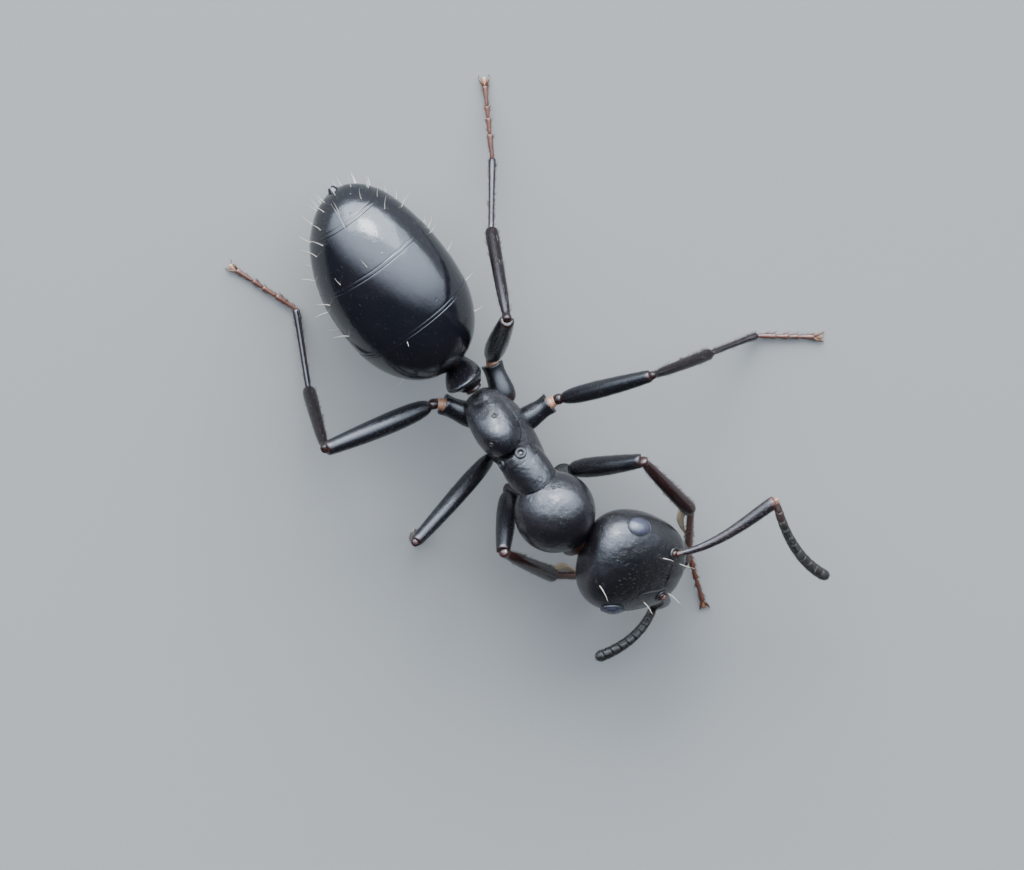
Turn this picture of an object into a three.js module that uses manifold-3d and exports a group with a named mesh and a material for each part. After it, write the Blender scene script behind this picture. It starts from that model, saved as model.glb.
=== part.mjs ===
// A carpenter ant worker, standing on six feet with its head turned to its left.
// Millimetres, +Z up. The ant faces -Y, its left side is +X and the ground is z = 0.
import * as THREE from 'three';
import { mergeVertices } from 'three/addons/utils/BufferGeometryUtils.js';
import Module from 'manifold-3d';

// ---------- driving dimensions ----------
const MIDDLE = { x: -1.235, y: 0.32 };      // where the body line stands in the footprint
const GAP = 0.02;                          // clearance between neighbouring plates
const LIMB = 0.25;                         // half thickness of legs and feelers
const LIMB_ROOT = 0.22;                    // where a segment starts inside the joint before it
const FOOT_LIFT = 0.22;                    // height of the foot's axis over the ground

const HEAD = { x: 0.65, y: -3.34, z: 2.05, turn: 36, nod: 28, length: 2.0, width: 1.96, depth: 1.36 };
const EYE = { along: -0.28, out: 0.83, up: 0.34, length: 0.46, width: 0.38, height: 0.24 };
const MANDIBLE = { length: 0.95, thick: 0.42 };
const SCAPE = { length: 2.0, along: 0.55, out: 0.42, up: 0.3 };

const PRONOTUM = { front: -2.5, back: -1.02, width: 1.54, top: 2.9, bottom: 1.5 };
const MESONOTUM = { front: -1.3, back: -0.36, width: 0.92, top: 2.62, bottom: 1.42 };
const PROPODEUM = { front: -0.42, back: 0.98, width: 0.98, top: 2.5, bottom: 1.4 };
const PETIOLE = { front: 0.9, back: 1.52, width: 0.72, crest: 2.4, bottom: 1.5 };
const GASTER = {
  front: 1.46, aside: -0.1, lift: 1.78, length: 3.9, width: 2.46, height: 2.2, turn: 2, sag: 0.42,
};
const SUTURES = [0, 0.31, 0.64, 0.88, 1];  // where each gaster plate starts, as a share of it

// Segment lengths of the front, middle and hind pair.
const SEGMENTS = {
  front: { coxa: 0.8, femur: 1.75, tibia: 1.75, basitarsus: 1.2, tarsus: 1.1 },
  middle: { coxa: 0.7, femur: 2.15, tibia: 1.75, basitarsus: 1.15, tarsus: 1.05 },
  hind: { coxa: 0.75, femur: 2.4, tibia: 2.1, basitarsus: 1.45, tarsus: 1.3 },
};
const HIPS = {
  front: { out: 0.3, y: -1.62, z: 1.55 },
  middle: { out: 0.32, y: -0.2, z: 1.45 },
  hind: { out: 0.32, y: 0.35, z: 1.45 },
};

// Stance of each leg: [heading, rise] in degrees for the coxa, femur and tibia, then the
// headings of the basitarsus and the rest of the foot, and the height of the foot's ball.
const STANCE = {
  left_front: { coxa: [46, -68], femur: [-21, 38], tibia: [-88, -29], foot: [-126, -109], ball: 0.4 },
  right_front: { coxa: [132, -48], femur: [-132, 66], tibia: [-77, -44], foot: [-62, -30], ball: 0.42 },
  left_middle: { coxa: [1, -4], femur: [-10, 27], tibia: [-35, -52], foot: [-30, -36], ball: 0.24 },
  right_middle: { coxa: [-161, -21], femur: [-171, 51], tibia: [-124, -73], foot: [-124, 22], ball: 0.24 },
  left_hind: { coxa: [67, -12], femur: [48, 56], tibia: [70, -55], foot: [55, 62], ball: 0.5 },
  right_hind: { coxa: [120, 9], femur: [160, 30], tibia: [92, -74], foot: [66, 112], ball: 0.24 },
};

// Feelers: heading and rise of the scape, then the bend and the tip of the funiculus
// measured from its elbow.
const FEELERS = {
  left: { scape: [-6, 4], bend: [-0.43, -1.14, -0.19], tip: [-0.12, -1.94, -0.64] },
  right: { scape: [-126, -65], bend: [-0.39, -0.16, 1.11], tip: [-1.33, -0.03, 0.81] },
};

// ---------- finishes ----------
const black = { color: 0x121116, roughness: 0.32, metalness: 0.0 };
const brown = { color: 0x3a1d14, roughness: 0.35, metalness: 0.0 };
const amber = { color: 0x7a3f22, roughness: 0.4, metalness: 0.0 };
const eyeBlue = { color: 0x59616e, roughness: 0.3, metalness: 0.0 };

const wasm = await Module();
wasm.setup();

const ant = new THREE.Group();
ant.position.set(MIDDLE.x, MIDDLE.y, 0);
const shapes = {};                         // how each finished piece is made, by name

const toRadians = THREE.MathUtils.degToRad;

// ---------- closed bodies from rings ----------

// Joins rings of equal size into one closed skin, with a pole point at either end.
function skin(rings, firstPole, lastPole) {
  const sides = rings[0].length;
  const points = rings.flat().concat([firstPole, lastPole]);
  const first = points.length - 2;
  const last = points.length - 1;
  const faces = [];
  for (let ring = 0; ring < rings.length - 1; ring += 1) {
    for (let side = 0; side < sides; side += 1) {
      const a = ring * sides + side;
      const b = ring * sides + ((side + 1) % sides);
      faces.push([a, b, b + sides], [a, b + sides, a + sides]);
    }
  }
  const end = (rings.length - 1) * sides;
  for (let side = 0; side < sides; side += 1) {
    const next = (side + 1) % sides;
    faces.push([first, next, side], [last, end + side, end + next]);
  }
  return facingOut(points, faces);
}

// Turns the faces over where they would enclose a negative volume.
function facingOut(points, faces) {
  let volume = 0;
  for (const [a, b, c] of faces) {
    volume += points[a].dot(points[b].clone().cross(points[c]));
  }
  const ordered = volume > 0 ? faces : faces.map(([a, b, c]) => [a, c, b]);
  const geometry = new THREE.BufferGeometry().setFromPoints(points);
  geometry.setIndex(ordered.flat());
  return geometry;
}

// One ring across the x axis: a rounded box when square is over 2, an ellipse at 2.
function ringAcross(x, halfWidth, halfHeight, lift, sides, square = 2) {
  const ring = [];
  for (let side = 0; side < sides; side += 1) {
    const angle = (2 * Math.PI * (side + 0.5)) / sides;
    const across = Math.sign(Math.cos(angle)) * Math.abs(Math.cos(angle)) ** (2 / square);
    const up = Math.sign(Math.sin(angle)) * Math.abs(Math.sin(angle)) ** (2 / square);
    ring.push(new THREE.Vector3(x, halfWidth * across, lift + halfHeight * up));
  }
  return ring;
}

// A body whose sections are given by a rule: section(share) returns width, height and lift.
function lofted(from, to, steps, sides, section, square = 2) {
  const rings = [];
  for (let step = 0; step <= steps; step += 1) {
    const share = step / steps;
    const { width, height, lift } = section(share);
    rings.push(ringAcross(from + (to - from) * share, width / 2, height / 2, lift, sides, square));
  }
  const start = section(0).lift;
  const end = section(1).lift;
  return skin(rings, new THREE.Vector3(from, 0, start), new THREE.Vector3(to, 0, end));
}

// A limb segment along x with rounded ends, thickest at its middle.
function segment(length, middleRadius, swell = 0) {
  const sides = 8;
  const root = LIMB_ROOT + swell;
  const middle = middleRadius + swell;
  const end = LIMB + swell;
  const rings = [
    ringAcross(-0.7 * root, 0.7 * root, 0.7 * root, 0, sides),
    ringAcross(0, root, root, 0, sides),
    ringAcross(length * 0.35, middle, middle, 0, sides),
    ringAcross(length * 0.7, (middle + end) / 2, (middle + end) / 2, 0, sides),
    ringAcross(length, end, end, 0, sides),
    ringAcross(length + 0.7 * end, 0.7 * end, 0.7 * end, 0, sides),
  ];
  return skin(rings, new THREE.Vector3(-root, 0, 0), new THREE.Vector3(length + end, 0, 0));
}

// A limb that follows a curve, with rounded ends.
function curvedLimb(curve, rootRadius, tipRadius, steps, swell = 0) {
  const sides = 8;
  const root = rootRadius + swell;
  const tip = tipRadius + swell;
  const frames = curve.computeFrenetFrames(steps, false);
  const ringAt = (step, along, reach) => {
    const centre = curve.getPointAt(step / steps).addScaledVector(frames.tangents[step], along);
    const ring = [];
    for (let side = 0; side < sides; side += 1) {
      const angle = (2 * Math.PI * side) / sides;
      const point = centre.clone();
      point.addScaledVector(frames.normals[step], Math.cos(angle) * reach);
      point.addScaledVector(frames.binormals[step], Math.sin(angle) * reach);
      ring.push(point);
    }
    return ring;
  };
  const rings = [ringAt(0, -0.7 * root, 0.7 * root)];
  for (let step = 0; step <= steps; step += 1) {
    rings.push(ringAt(step, 0, step === 0 ? root : tip));
  }
  rings.push(ringAt(steps, 0.7 * tip, 0.7 * tip));
  const start = curve.getPointAt(0).addScaledVector(frames.tangents[0], -root);
  const finish = curve.getPointAt(1).addScaledVector(frames.tangents[steps], tip);
  return skin(rings, start, finish);
}

// ---------- cutting one piece around another ----------

function toSolid(geometry, matrix) {
  const plain = geometry.clone().applyMatrix4(matrix);
  plain.deleteAttribute('normal');
  plain.deleteAttribute('uv');
  const merged = mergeVertices(plain, 1e-5);
  return new wasm.Manifold(new wasm.Mesh({
    numProp: 3,
    vertProperties: new Float32Array(merged.attributes.position.array),
    triVerts: new Uint32Array(merged.index.array),
  }));
}

function toGeometry(solid, matrix) {
  const mesh = solid.getMesh();
  const geometry = new THREE.BufferGeometry();
  geometry.setAttribute('position', new THREE.BufferAttribute(mesh.vertProperties, 3));
  geometry.setIndex(new THREE.BufferAttribute(mesh.triVerts, 1));
  return geometry.applyMatrix4(matrix);
}

// Adds a named piece to its group. shape(swell) gives its geometry, and every piece named
// in beside is cut out of it with GAP to spare. A piece that stands on the ground is
// cut flat there.
function addPiece(group, name, finish, shape, beside = [], onGround = false) {
  const mesh = new THREE.Mesh(shape(0), new THREE.MeshStandardMaterial(finish));
  mesh.name = name;
  group.add(mesh);
  ant.updateMatrixWorld(true);
  if (beside.length > 0 || onGround) {
    let solid = toSolid(mesh.geometry, mesh.matrixWorld);
    for (const neighbour of beside) {
      const cutter = shapes[neighbour];
      solid = solid.subtract(toSolid(cutter.shape(GAP), cutter.mesh.matrixWorld));
    }
    if (onGround) {
      const ground = new THREE.BoxGeometry(30, 30, 2);
      solid = solid.subtract(toSolid(ground, new THREE.Matrix4().makeTranslation(0, 0, -1)));
    }
    mesh.geometry = toGeometry(solid, mesh.matrixWorld.clone().invert());
  }
  mesh.geometry.computeVertexNormals();
  shapes[name] = { shape, mesh };
  return mesh;
}

// A group standing at a point, its x axis turned to a heading and raised by a rise.
function aimed(parent, point, heading, rise) {
  const group = new THREE.Group();
  group.position.copy(point);
  group.rotation.set(0, -toRadians(rise), toRadians(heading), 'ZYX');
  parent.add(group);
  return group;
}

// The unit direction of a heading and a rise.
function direction(heading, rise) {
  const flat = Math.cos(toRadians(rise));
  return new THREE.Vector3(
    flat * Math.cos(toRadians(heading)),
    flat * Math.sin(toRadians(heading)),
    Math.sin(toRadians(rise)),
  );
}

// ---------- trunk: pronotum, mesonotum, propodeum, petiole, gaster ----------

const trunk = aimed(ant, new THREE.Vector3(0, 0, 0), 90, 0);   // its x axis runs to the rear

// Height and lift of a section from its top and bottom levels.
function between(width, top, bottom, swell) {
  return { width: width + 2 * swell, height: top - bottom + 2 * swell, lift: (top + bottom) / 2 };
}

// 0 at both ends of a dome and 1 at its peak.
function dome(share, peak, blunt = 2) {
  const away = share < peak ? (peak - share) / peak : (share - peak) / (1 - peak);
  return Math.max(0, 1 - away ** blunt) ** (1 / blunt);
}

function pronotumShape(swell) {
  const { front, back, width, top, bottom } = PRONOTUM;
  const middle = (top + bottom) / 2;
  const half = (top - bottom) / 2;
  const section = (share) => {
    const ball = dome(0.17 + 0.83 * share, 0.56, 2.1);
    const girth = share < 0.5 ? Math.max(ball, 0.5) : Math.max(ball, 0.42);
    const tilt = 0.1 * (share - 0.5);
    return between(width * girth, middle + half * girth - tilt, middle - half * girth - tilt, swell);
  };
  return lofted(front - swell, back + swell, 10, 20, section, 2.1);
}
addPiece(trunk, 'pronotum', black, pronotumShape);

function mesonotumShape(swell) {
  const { front, back, width, top, bottom } = MESONOTUM;
  const section = (share) => {
    const girth = 0.55 + 0.45 * dome(share, 0.45, 2.4);
    const high = top - 0.22 * share - 0.12 * (1 - dome(share, 0.4, 3));
    return between(width * girth, high, bottom + 0.1 * (1 - girth), swell);
  };
  return lofted(front - swell, back + swell, 6, 16, section, 2.4);
}
addPiece(trunk, 'mesonotum', black, mesonotumShape, ['pronotum']);

function propodeumShape(swell) {
  const { front, back, width, top, bottom } = PROPODEUM;
  const section = (share) => {
    const girth = 0.42 + 0.58 * dome(share, 0.45, 2.4);
    const high = top - 0.14 * (1 - dome(share, 0.3, 2.2)) - 0.62 * Math.max(0, share - 0.3) ** 1.6;
    return between(width * girth, high, bottom + 0.16 * (1 - girth), swell);
  };
  return lofted(front - swell, back + swell, 7, 16, section, 2.4);
}
addPiece(trunk, 'propodeum', black, propodeumShape, ['mesonotum']);

// A narrow stalk at either end and an upright scale between them.
function petioleShape(swell) {
  const { front, back, width, crest, bottom } = PETIOLE;
  const section = (share) => {
    const scale = dome(share, 0.5, 1.5) ** 1.4;
    return between(0.36 + (width - 0.36) * scale, 1.86 + (crest - 1.86) * scale, bottom, swell);
  };
  return lofted(front - swell, back + swell, 8, 12, section, 2.3);
}
addPiece(trunk, 'petiole', black, petioleShape, ['propodeum']);

// The egg of the gaster, blunt in front and drawn out behind.
function gasterSection(share) {
  const girth = dome(share, 0.44, share < 0.44 ? 2.2 : 1.9);
  const lift = -GASTER.sag * share ** 1.6;
  return { width: GASTER.width * girth, height: GASTER.height * girth, lift };
}

function gasterPlate(index, swell) {
  const steps = index === 0 || index === SUTURES.length - 2 ? 6 : 3;
  const first = SUTURES[index] + (index === 0 ? 0.002 : GAP / 2 / GASTER.length);
  const final = SUTURES[index + 1] - (index === SUTURES.length - 2 ? 0.002 : GAP / 2 / GASTER.length);
  const crowd = (share) => {
    if (index === 0) {
      return share ** 1.8;
    }
    return index === SUTURES.length - 2 ? 1 - (1 - share) ** 1.8 : share;
  };
  const rings = [];
  for (let step = 0; step <= steps; step += 1) {
    const share = first + (final - first) * crowd(step / steps);
    const { width, height, lift } = gasterSection(share);
    const x = GASTER.length * share;
    rings.push(ringAcross(x, width / 2 + swell, height / 2 + swell, lift, 24, 2.0));
  }
  const start = new THREE.Vector3(rings[0][0].x, 0, gasterSection(first).lift);
  const end = new THREE.Vector3(rings[steps][0].x, 0, gasterSection(final).lift);
  return skin(rings, start, end);
}
const abdomen = aimed(trunk, new THREE.Vector3(GASTER.front, -GASTER.aside, GASTER.lift), GASTER.turn, 0);
for (let index = 0; index < SUTURES.length - 1; index += 1) {
  const beside = index === 0 ? ['petiole'] : [];
  addPiece(abdomen, `gaster_${index + 1}`, black, (swell) => gasterPlate(index, swell), beside);
}

// ---------- head ----------

const head = aimed(ant, new THREE.Vector3(HEAD.x, HEAD.y, HEAD.z), HEAD.turn - 90, -HEAD.nod);

// Widest across the eyes, square behind, narrowing to the mouth.
function headShape(swell) {
  const section = (share) => {
    const rear = dome(Math.min(share, 0.42), 0.42, 2.7);
    const narrowing = 1 - 0.34 * (Math.max(0, share - 0.42) / 0.58) ** 1.8;
    const mouth = dome(Math.max(share, 0.8), 0.8, 3.2) * 0.3 + 0.7;
    const flatness = 1 - 0.36 * Math.max(0, share - 0.4) ** 2 / 0.36;
    const depth = HEAD.depth * rear * flatness * mouth;
    return {
      width: HEAD.width * rear * narrowing * mouth + 2 * swell,
      height: depth + 2 * swell,
      lift: -0.06 * share,
    };
  };
  const half = HEAD.length / 2;
  return lofted(-half - swell + 0.004, half + swell, 12, 22, section, 2.25);
}
addPiece(head, 'head', black, headShape, ['pronotum']);

for (const [side, sign] of [['left', 1], ['right', -1]]) {
  // A low oval lens set into the side of the head.
  const lens = (swell) => {
    const ball = new THREE.SphereGeometry(0.5, 14, 8);
    ball.scale(EYE.length + 2 * swell, EYE.width + 2 * swell, EYE.height + 2 * swell);
    return ball;
  };
  const socket = new THREE.Group();
  socket.position.set(EYE.along, sign * EYE.out, EYE.up);
  socket.rotation.x = -sign * toRadians(58);
  head.add(socket);
  addPiece(socket, `eye_${side}`, eyeBlue, lens, ['head']);
}
for (const [side, sign] of [['left', 1], ['right', -1]]) {
  // A curved jaw closed across the front of the mouth.
  const jaw = (swell) => {
    const reach = MANDIBLE.length;
    const path = new THREE.QuadraticBezierCurve3(
      new THREE.Vector3(0.86, sign * 0.4, -0.16),
      new THREE.Vector3(0.86 + reach * 0.55, sign * 0.44, -0.2),
      new THREE.Vector3(0.86 + reach * 0.55, sign * 0.16, -0.24),
    );
    return curvedLimb(path, MANDIBLE.thick / 2, MANDIBLE.thick / 2 - 0.04, 4, swell);
  };
  const beside = side === 'left' ? ['head'] : ['head', 'mandible_left'];
  addPiece(head, `mandible_${side}`, brown, jaw, beside);
}

// ---------- feelers ----------

for (const [side, sign] of [['left', 1], ['right', -1]]) {
  const { scape, bend, tip } = FEELERS[side];
  const socket = head.localToWorld(new THREE.Vector3(SCAPE.along, sign * SCAPE.out, SCAPE.up));
  ant.worldToLocal(socket);
  const shaft = aimed(ant, socket, scape[0], scape[1]);
  const rod = (swell) => segment(SCAPE.length, LIMB, swell);
  addPiece(shaft, `scape_${side}`, black, rod, ['head', `mandible_${side}`]);

  const elbow = socket.clone().addScaledVector(direction(scape[0], scape[1]), SCAPE.length);
  const whip = new THREE.Group();
  whip.position.copy(elbow);
  ant.add(whip);
  const lash = (swell) => {
    const path = new THREE.QuadraticBezierCurve3(
      new THREE.Vector3(0, 0, 0),
      new THREE.Vector3(...bend),
      new THREE.Vector3(...tip),
    );
    return curvedLimb(path, LIMB_ROOT, LIMB, 7, swell);
  };
  addPiece(whip, `funiculus_${side}`, brown, lash, [`scape_${side}`]);
}

// ---------- legs ----------

for (const pair of ['front', 'middle', 'hind']) {
  const lengths = SEGMENTS[pair];
  const hip = HIPS[pair];
  for (const [side, sign] of [['left', 1], ['right', -1]]) {
    const name = `${side}_${pair}`;
    const stance = STANCE[name];
    const trunkPlates = ['pronotum', 'mesonotum', 'propodeum'];
    const joint = new THREE.Vector3(sign * hip.out, hip.y, hip.z);

    const coxa = (swell) => segment(lengths.coxa, 0.27, swell);
    const others = side === 'right' ? [`coxa_left_${pair}`] : [];
    addPiece(
      aimed(ant, joint, ...stance.coxa),
      `coxa_${name}`, black, coxa, [...trunkPlates, ...others],
    );
    joint.addScaledVector(direction(...stance.coxa), lengths.coxa);

    const femur = (swell) => segment(lengths.femur, 0.27, swell);
    addPiece(
      aimed(ant, joint, ...stance.femur),
      `femur_${name}`, black, femur, [`coxa_${name}`, ...trunkPlates],
    );
    joint.addScaledVector(direction(...stance.femur), lengths.femur);

    const tibia = (swell) => segment(lengths.tibia, LIMB, swell);
    addPiece(aimed(ant, joint, ...stance.tibia), `tibia_${name}`, brown, tibia, [`femur_${name}`]);
    joint.addScaledVector(direction(...stance.tibia), lengths.tibia);

    const slope = THREE.MathUtils.radToDeg(Math.asin((stance.ball - joint.z) / lengths.basitarsus));
    const basitarsus = (swell) => segment(lengths.basitarsus, LIMB, swell);
    addPiece(
      aimed(ant, joint, stance.foot[0], slope),
      `basitarsus_${name}`, amber, basitarsus, [`tibia_${name}`], true,
    );
    joint.addScaledVector(direction(stance.foot[0], slope), lengths.basitarsus);

    const fall = THREE.MathUtils.radToDeg(Math.asin((FOOT_LIFT - joint.z) / lengths.tarsus));
    const tarsus = (swell) => segment(lengths.tarsus, LIMB, swell);
    addPiece(
      aimed(ant, joint, stance.foot[1], fall),
      `tarsus_${name}`, amber, tarsus, [`basitarsus_${name}`], true,
    );
  }
}

export default ant;
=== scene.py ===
import math

import bmesh
import bpy
import numpy as np
from mathutils import Matrix, Vector


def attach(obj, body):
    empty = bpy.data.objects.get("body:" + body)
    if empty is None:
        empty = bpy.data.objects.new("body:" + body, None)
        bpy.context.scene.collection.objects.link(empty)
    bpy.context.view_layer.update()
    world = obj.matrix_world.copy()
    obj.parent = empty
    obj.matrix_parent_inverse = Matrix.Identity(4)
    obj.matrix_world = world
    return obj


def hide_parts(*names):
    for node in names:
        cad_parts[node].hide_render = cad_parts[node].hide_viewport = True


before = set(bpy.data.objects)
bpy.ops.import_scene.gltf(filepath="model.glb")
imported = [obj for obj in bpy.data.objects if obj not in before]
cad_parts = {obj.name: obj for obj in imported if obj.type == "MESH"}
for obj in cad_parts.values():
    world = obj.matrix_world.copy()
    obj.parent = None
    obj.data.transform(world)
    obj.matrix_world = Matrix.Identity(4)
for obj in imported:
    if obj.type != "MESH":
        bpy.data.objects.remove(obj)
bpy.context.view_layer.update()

# ---------- sizes, in millimetres ----------
MIDDLE = Vector((-1.235, 0.32, 0.0))
INTO_FRAME = Matrix.Scale(0.001, 4) @ Matrix.Translation(MIDDLE)

HEAD_AT, HEAD_TURN, HEAD_NOD = Vector((0.65, -3.34, 2.05)), 36, 28
HEAD_LENGTH, HEAD_WIDTH, HEAD_DEPTH = 2.0, 1.96, 1.36
EYE = {"along": -0.28, "out": 0.83, "up": 0.34, "length": 0.46, "width": 0.38, "height": 0.24}
SOCKET = {"along": 0.53, "out": 0.42}
SCAPE_LENGTH = 2.0
FEELERS = {
    "left": {"scape": (-6, 4), "bend": (-0.43, -1.14, -0.19), "tip": (-0.12, -1.94, -0.64)},
    "right": {"scape": (-126, -65), "bend": (-0.39, -0.16, 1.11), "tip": (-1.33, -0.03, 0.81)},
}
SEGMENTS = {
    "front": {"coxa": 0.8, "femur": 1.75, "tibia": 1.75, "basitarsus": 1.2, "tarsus": 1.1},
    "middle": {"coxa": 0.7, "femur": 2.15, "tibia": 1.75, "basitarsus": 1.15, "tarsus": 1.05},
    "hind": {"coxa": 0.75, "femur": 2.4, "tibia": 2.1, "basitarsus": 1.45, "tarsus": 1.3},
}
HIPS = {"front": (0.3, -1.62, 1.55), "middle": (0.32, -0.2, 1.45), "hind": (0.32, 0.35, 1.45)}
STANCE = {
    "left_front": {"coxa": (46, -68), "femur": (-21, 38), "tibia": (-88, -29), "foot": (-126, -109),
        "ball": 0.4},
    "right_front": {"coxa": (132, -48), "femur": (-132, 66), "tibia": (-77, -44), "foot": (-62, -30),
        "ball": 0.42},
    "left_middle": {"coxa": (1, -4), "femur": (-10, 27), "tibia": (-35, -52), "foot": (-30, -36),
        "ball": 0.24},
    "right_middle": {"coxa": (-161, -21), "femur": (-171, 51), "tibia": (-124, -73), "foot": (-124, 22),
        "ball": 0.24},
    "left_hind": {"coxa": (67, -12), "femur": (48, 56), "tibia": (70, -55), "foot": (55, 62), "ball": 0.5},
    "right_hind": {"coxa": (120, 9), "femur": (160, 30), "tibia": (92, -74), "foot": (66, 112),
        "ball": 0.24},
}
FOOT_LIFT = 0.22
SUTURES = (0.0, 0.31, 0.64, 0.88, 1.0)
GASTER = {"length": 3.9, "width": 2.46, "height": 2.2, "sag": 0.42}


# ---------- handling pieces ----------
def put_down():
    """Leaves edit mode and lets go of everything."""
    held = bpy.context.view_layer.objects.active
    if held and held.mode != "OBJECT":
        bpy.ops.object.mode_set(mode="OBJECT")
    bpy.ops.object.select_all(action="DESELECT")


def take(piece):
    """Holds one piece alone."""
    put_down()
    piece.select_set(True)
    bpy.context.view_layer.objects.active = piece
    return piece


def open_up(piece):
    """Opens a piece in edit mode with nothing of it selected."""
    take(piece)
    bpy.ops.object.mode_set(mode="EDIT")
    bpy.ops.mesh.select_all(action="DESELECT")


def pick(piece, kind, test):
    """In edit mode, selects the faces, edges or points whose middle and normal pass the test."""
    bpy.ops.mesh.select_mode(type=kind)
    bpy.ops.mesh.select_all(action="DESELECT")
    form = bmesh.from_edit_mesh(piece.data)
    form.normal_update()
    if kind == "VERT":
        for point in form.verts:
            point.select = bool(test(point.co, point.normal))
    elif kind == "EDGE":
        for edge in form.edges:
            middle = (edge.verts[0].co + edge.verts[1].co) / 2
            edge.select = bool(test(middle, edge.verts[0].normal + edge.verts[1].normal))
    else:
        for face in form.faces:
            face.select = bool(test(face.calc_center_median(), face.normal))
    form.select_flush_mode()
    bmesh.update_edit_mesh(piece.data)


def modify(piece, kind, **settings):
    """Adds a modifier with its settings and applies it."""
    take(piece)
    step = piece.modifiers.new(kind.title(), kind)
    for key, value in settings.items():
        setattr(step, key, value)
    bpy.ops.object.modifier_apply(modifier=step.name)


def rounded(piece, levels=1):
    """Smooths a piece by subdivision."""
    modify(piece, "SUBSURF", levels=levels, render_levels=levels)


def outward(piece):
    """Merges what coincides and turns every face outwards."""
    open_up(piece)
    bpy.ops.mesh.select_all(action="SELECT")
    bpy.ops.mesh.remove_doubles(threshold=0.0004)
    bpy.ops.mesh.normals_make_consistent(inside=False)
    put_down()


def joined(pieces, name):
    """Joins several pieces into the first."""
    take(pieces[0])
    for piece in pieces:
        piece.select_set(True)
    bpy.ops.object.join()
    pieces[0].name = name
    return pieces[0]


def copied(piece, name):
    """A copy with its own mesh."""
    twin = piece.copy()
    twin.data = piece.data.copy()
    twin.name = name
    bpy.context.collection.objects.link(twin)
    return twin


def turned(piece, matrix):
    """Moves a piece by a matrix and leaves the place in its mesh."""
    take(piece)
    piece.matrix_world = matrix
    bpy.ops.object.transform_apply(location=True, rotation=True, scale=True)
    if matrix.determinant() < 0:
        outward(piece)
    return piece


def thrown(piece):
    """Removes a pattern piece that has been copied."""
    bpy.data.objects.remove(piece)


def mark_reach(piece, start, end):
    """Writes how far along x each point lies, from 0 to 1, as the attribute 'reach'."""
    count = len(piece.data.vertices)
    co = np.empty(count * 3, np.float32)
    piece.data.vertices.foreach_get("co", co)
    share = np.clip((co[0::3] - start) / (end - start), 0, 1)
    reach = piece.data.attributes.get("reach") or piece.data.attributes.new("reach", "FLOAT", "POINT")
    reach.data.foreach_set("value", share.astype(np.float32))


# ---------- shaping ----------
def drawn_out(name, rings, sides=20, square=2.0):
    """A body pulled out of one ring along x: each ring is (x, half width, half height, aside, lift)."""
    put_down()
    bpy.ops.mesh.primitive_circle_add(vertices=sides, radius=1, rotation=(0, math.pi / 2, 0))
    piece = bpy.context.object
    piece.name = name
    bpy.ops.object.transform_apply(location=False, rotation=True, scale=False)
    if square != 2.0:
        for point in piece.data.vertices:
            corner = (abs(point.co.y) ** square + abs(point.co.z) ** square) ** (1 / square)
            point.co /= corner
    bpy.ops.object.mode_set(mode="EDIT")
    bpy.ops.mesh.select_mode(type="EDGE")
    bpy.ops.mesh.select_all(action="SELECT")
    x, wide, high, aside, lift = rings[0]
    bpy.ops.transform.resize(value=(1, wide, high))
    bpy.ops.transform.translate(value=(x, aside, lift))
    for ring in rings[1:]:
        step = (ring[0] - x, ring[3] - aside, ring[4] - lift)
        bpy.ops.mesh.extrude_region_move(TRANSFORM_OT_translate={"value": step})
        bpy.ops.transform.resize(
            value=(1, ring[1] / wide, ring[2] / high), center_override=(ring[0], ring[3], ring[4])
        )
        x, wide, high, aside, lift = ring
    bpy.ops.mesh.edge_face_add()
    bpy.ops.mesh.select_all(action="DESELECT")
    form = bmesh.from_edit_mesh(piece.data)
    for edge in form.edges:
        edge.select = edge.is_boundary
    bmesh.update_edit_mesh(piece.data)
    bpy.ops.mesh.edge_face_add()
    bpy.ops.mesh.select_all(action="SELECT")
    bpy.ops.mesh.normals_make_consistent(inside=False)
    put_down()
    return piece


def strand(name, points, radii, sides=8):
    """A round strand through points, thinner or thicker along its way."""
    line = bpy.data.curves.new(name, "CURVE")
    line.dimensions = "3D"
    line.bevel_depth = 1.0
    line.bevel_resolution = max(1, sides // 4 - 1)
    line.use_fill_caps = True
    path = line.splines.new("POLY")
    path.points.add(len(points) - 1)
    for spot, point, radius in zip(path.points, points, radii):
        spot.co = (*point, 1)
        spot.radius = radius
    piece = bpy.data.objects.new(name, line)
    bpy.context.collection.objects.link(piece)
    take(piece)
    bpy.ops.object.convert(target="MESH")
    piece = bpy.context.object
    outward(piece)
    return piece


def ring_band(name, radius, thick, at=None, sides=28, tall=1.0):
    """A small rolled rim that lies around z."""
    put_down()
    bpy.ops.mesh.primitive_torus_add(
        major_radius=radius, minor_radius=thick, major_segments=sides, minor_segments=10
    )
    piece = bpy.context.object
    piece.name = name
    if tall != 1.0:
        bpy.ops.object.mode_set(mode="EDIT")
        bpy.ops.transform.resize(value=(1, 1, tall))
    put_down()
    if at is not None:
        turned(piece, at)
    return piece


def bellows(name, length, start, end, folds=4, depth=0.018):
    """A folded skin that joins two plates, along x."""
    rings = []
    for step in range(folds * 2 + 1):
        share = step / (folds * 2)
        girth = start + (end - start) * share + (depth if step % 2 else -depth)
        rings.append((length * share, girth, girth, 0, 0))
    piece = drawn_out(name, rings, sides=16)
    rounded(piece, 1)
    return piece


def aimed(point, heading, rise, roll=0):
    """The place of a piece whose x axis is turned to a heading and raised by a rise."""
    return (
        Matrix.Translation(Vector(point))
        @ Matrix.Rotation(math.radians(heading), 4, "Z")
        @ Matrix.Rotation(-math.radians(rise), 4, "Y")
        @ Matrix.Rotation(math.radians(roll), 4, "X")
    )


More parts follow.
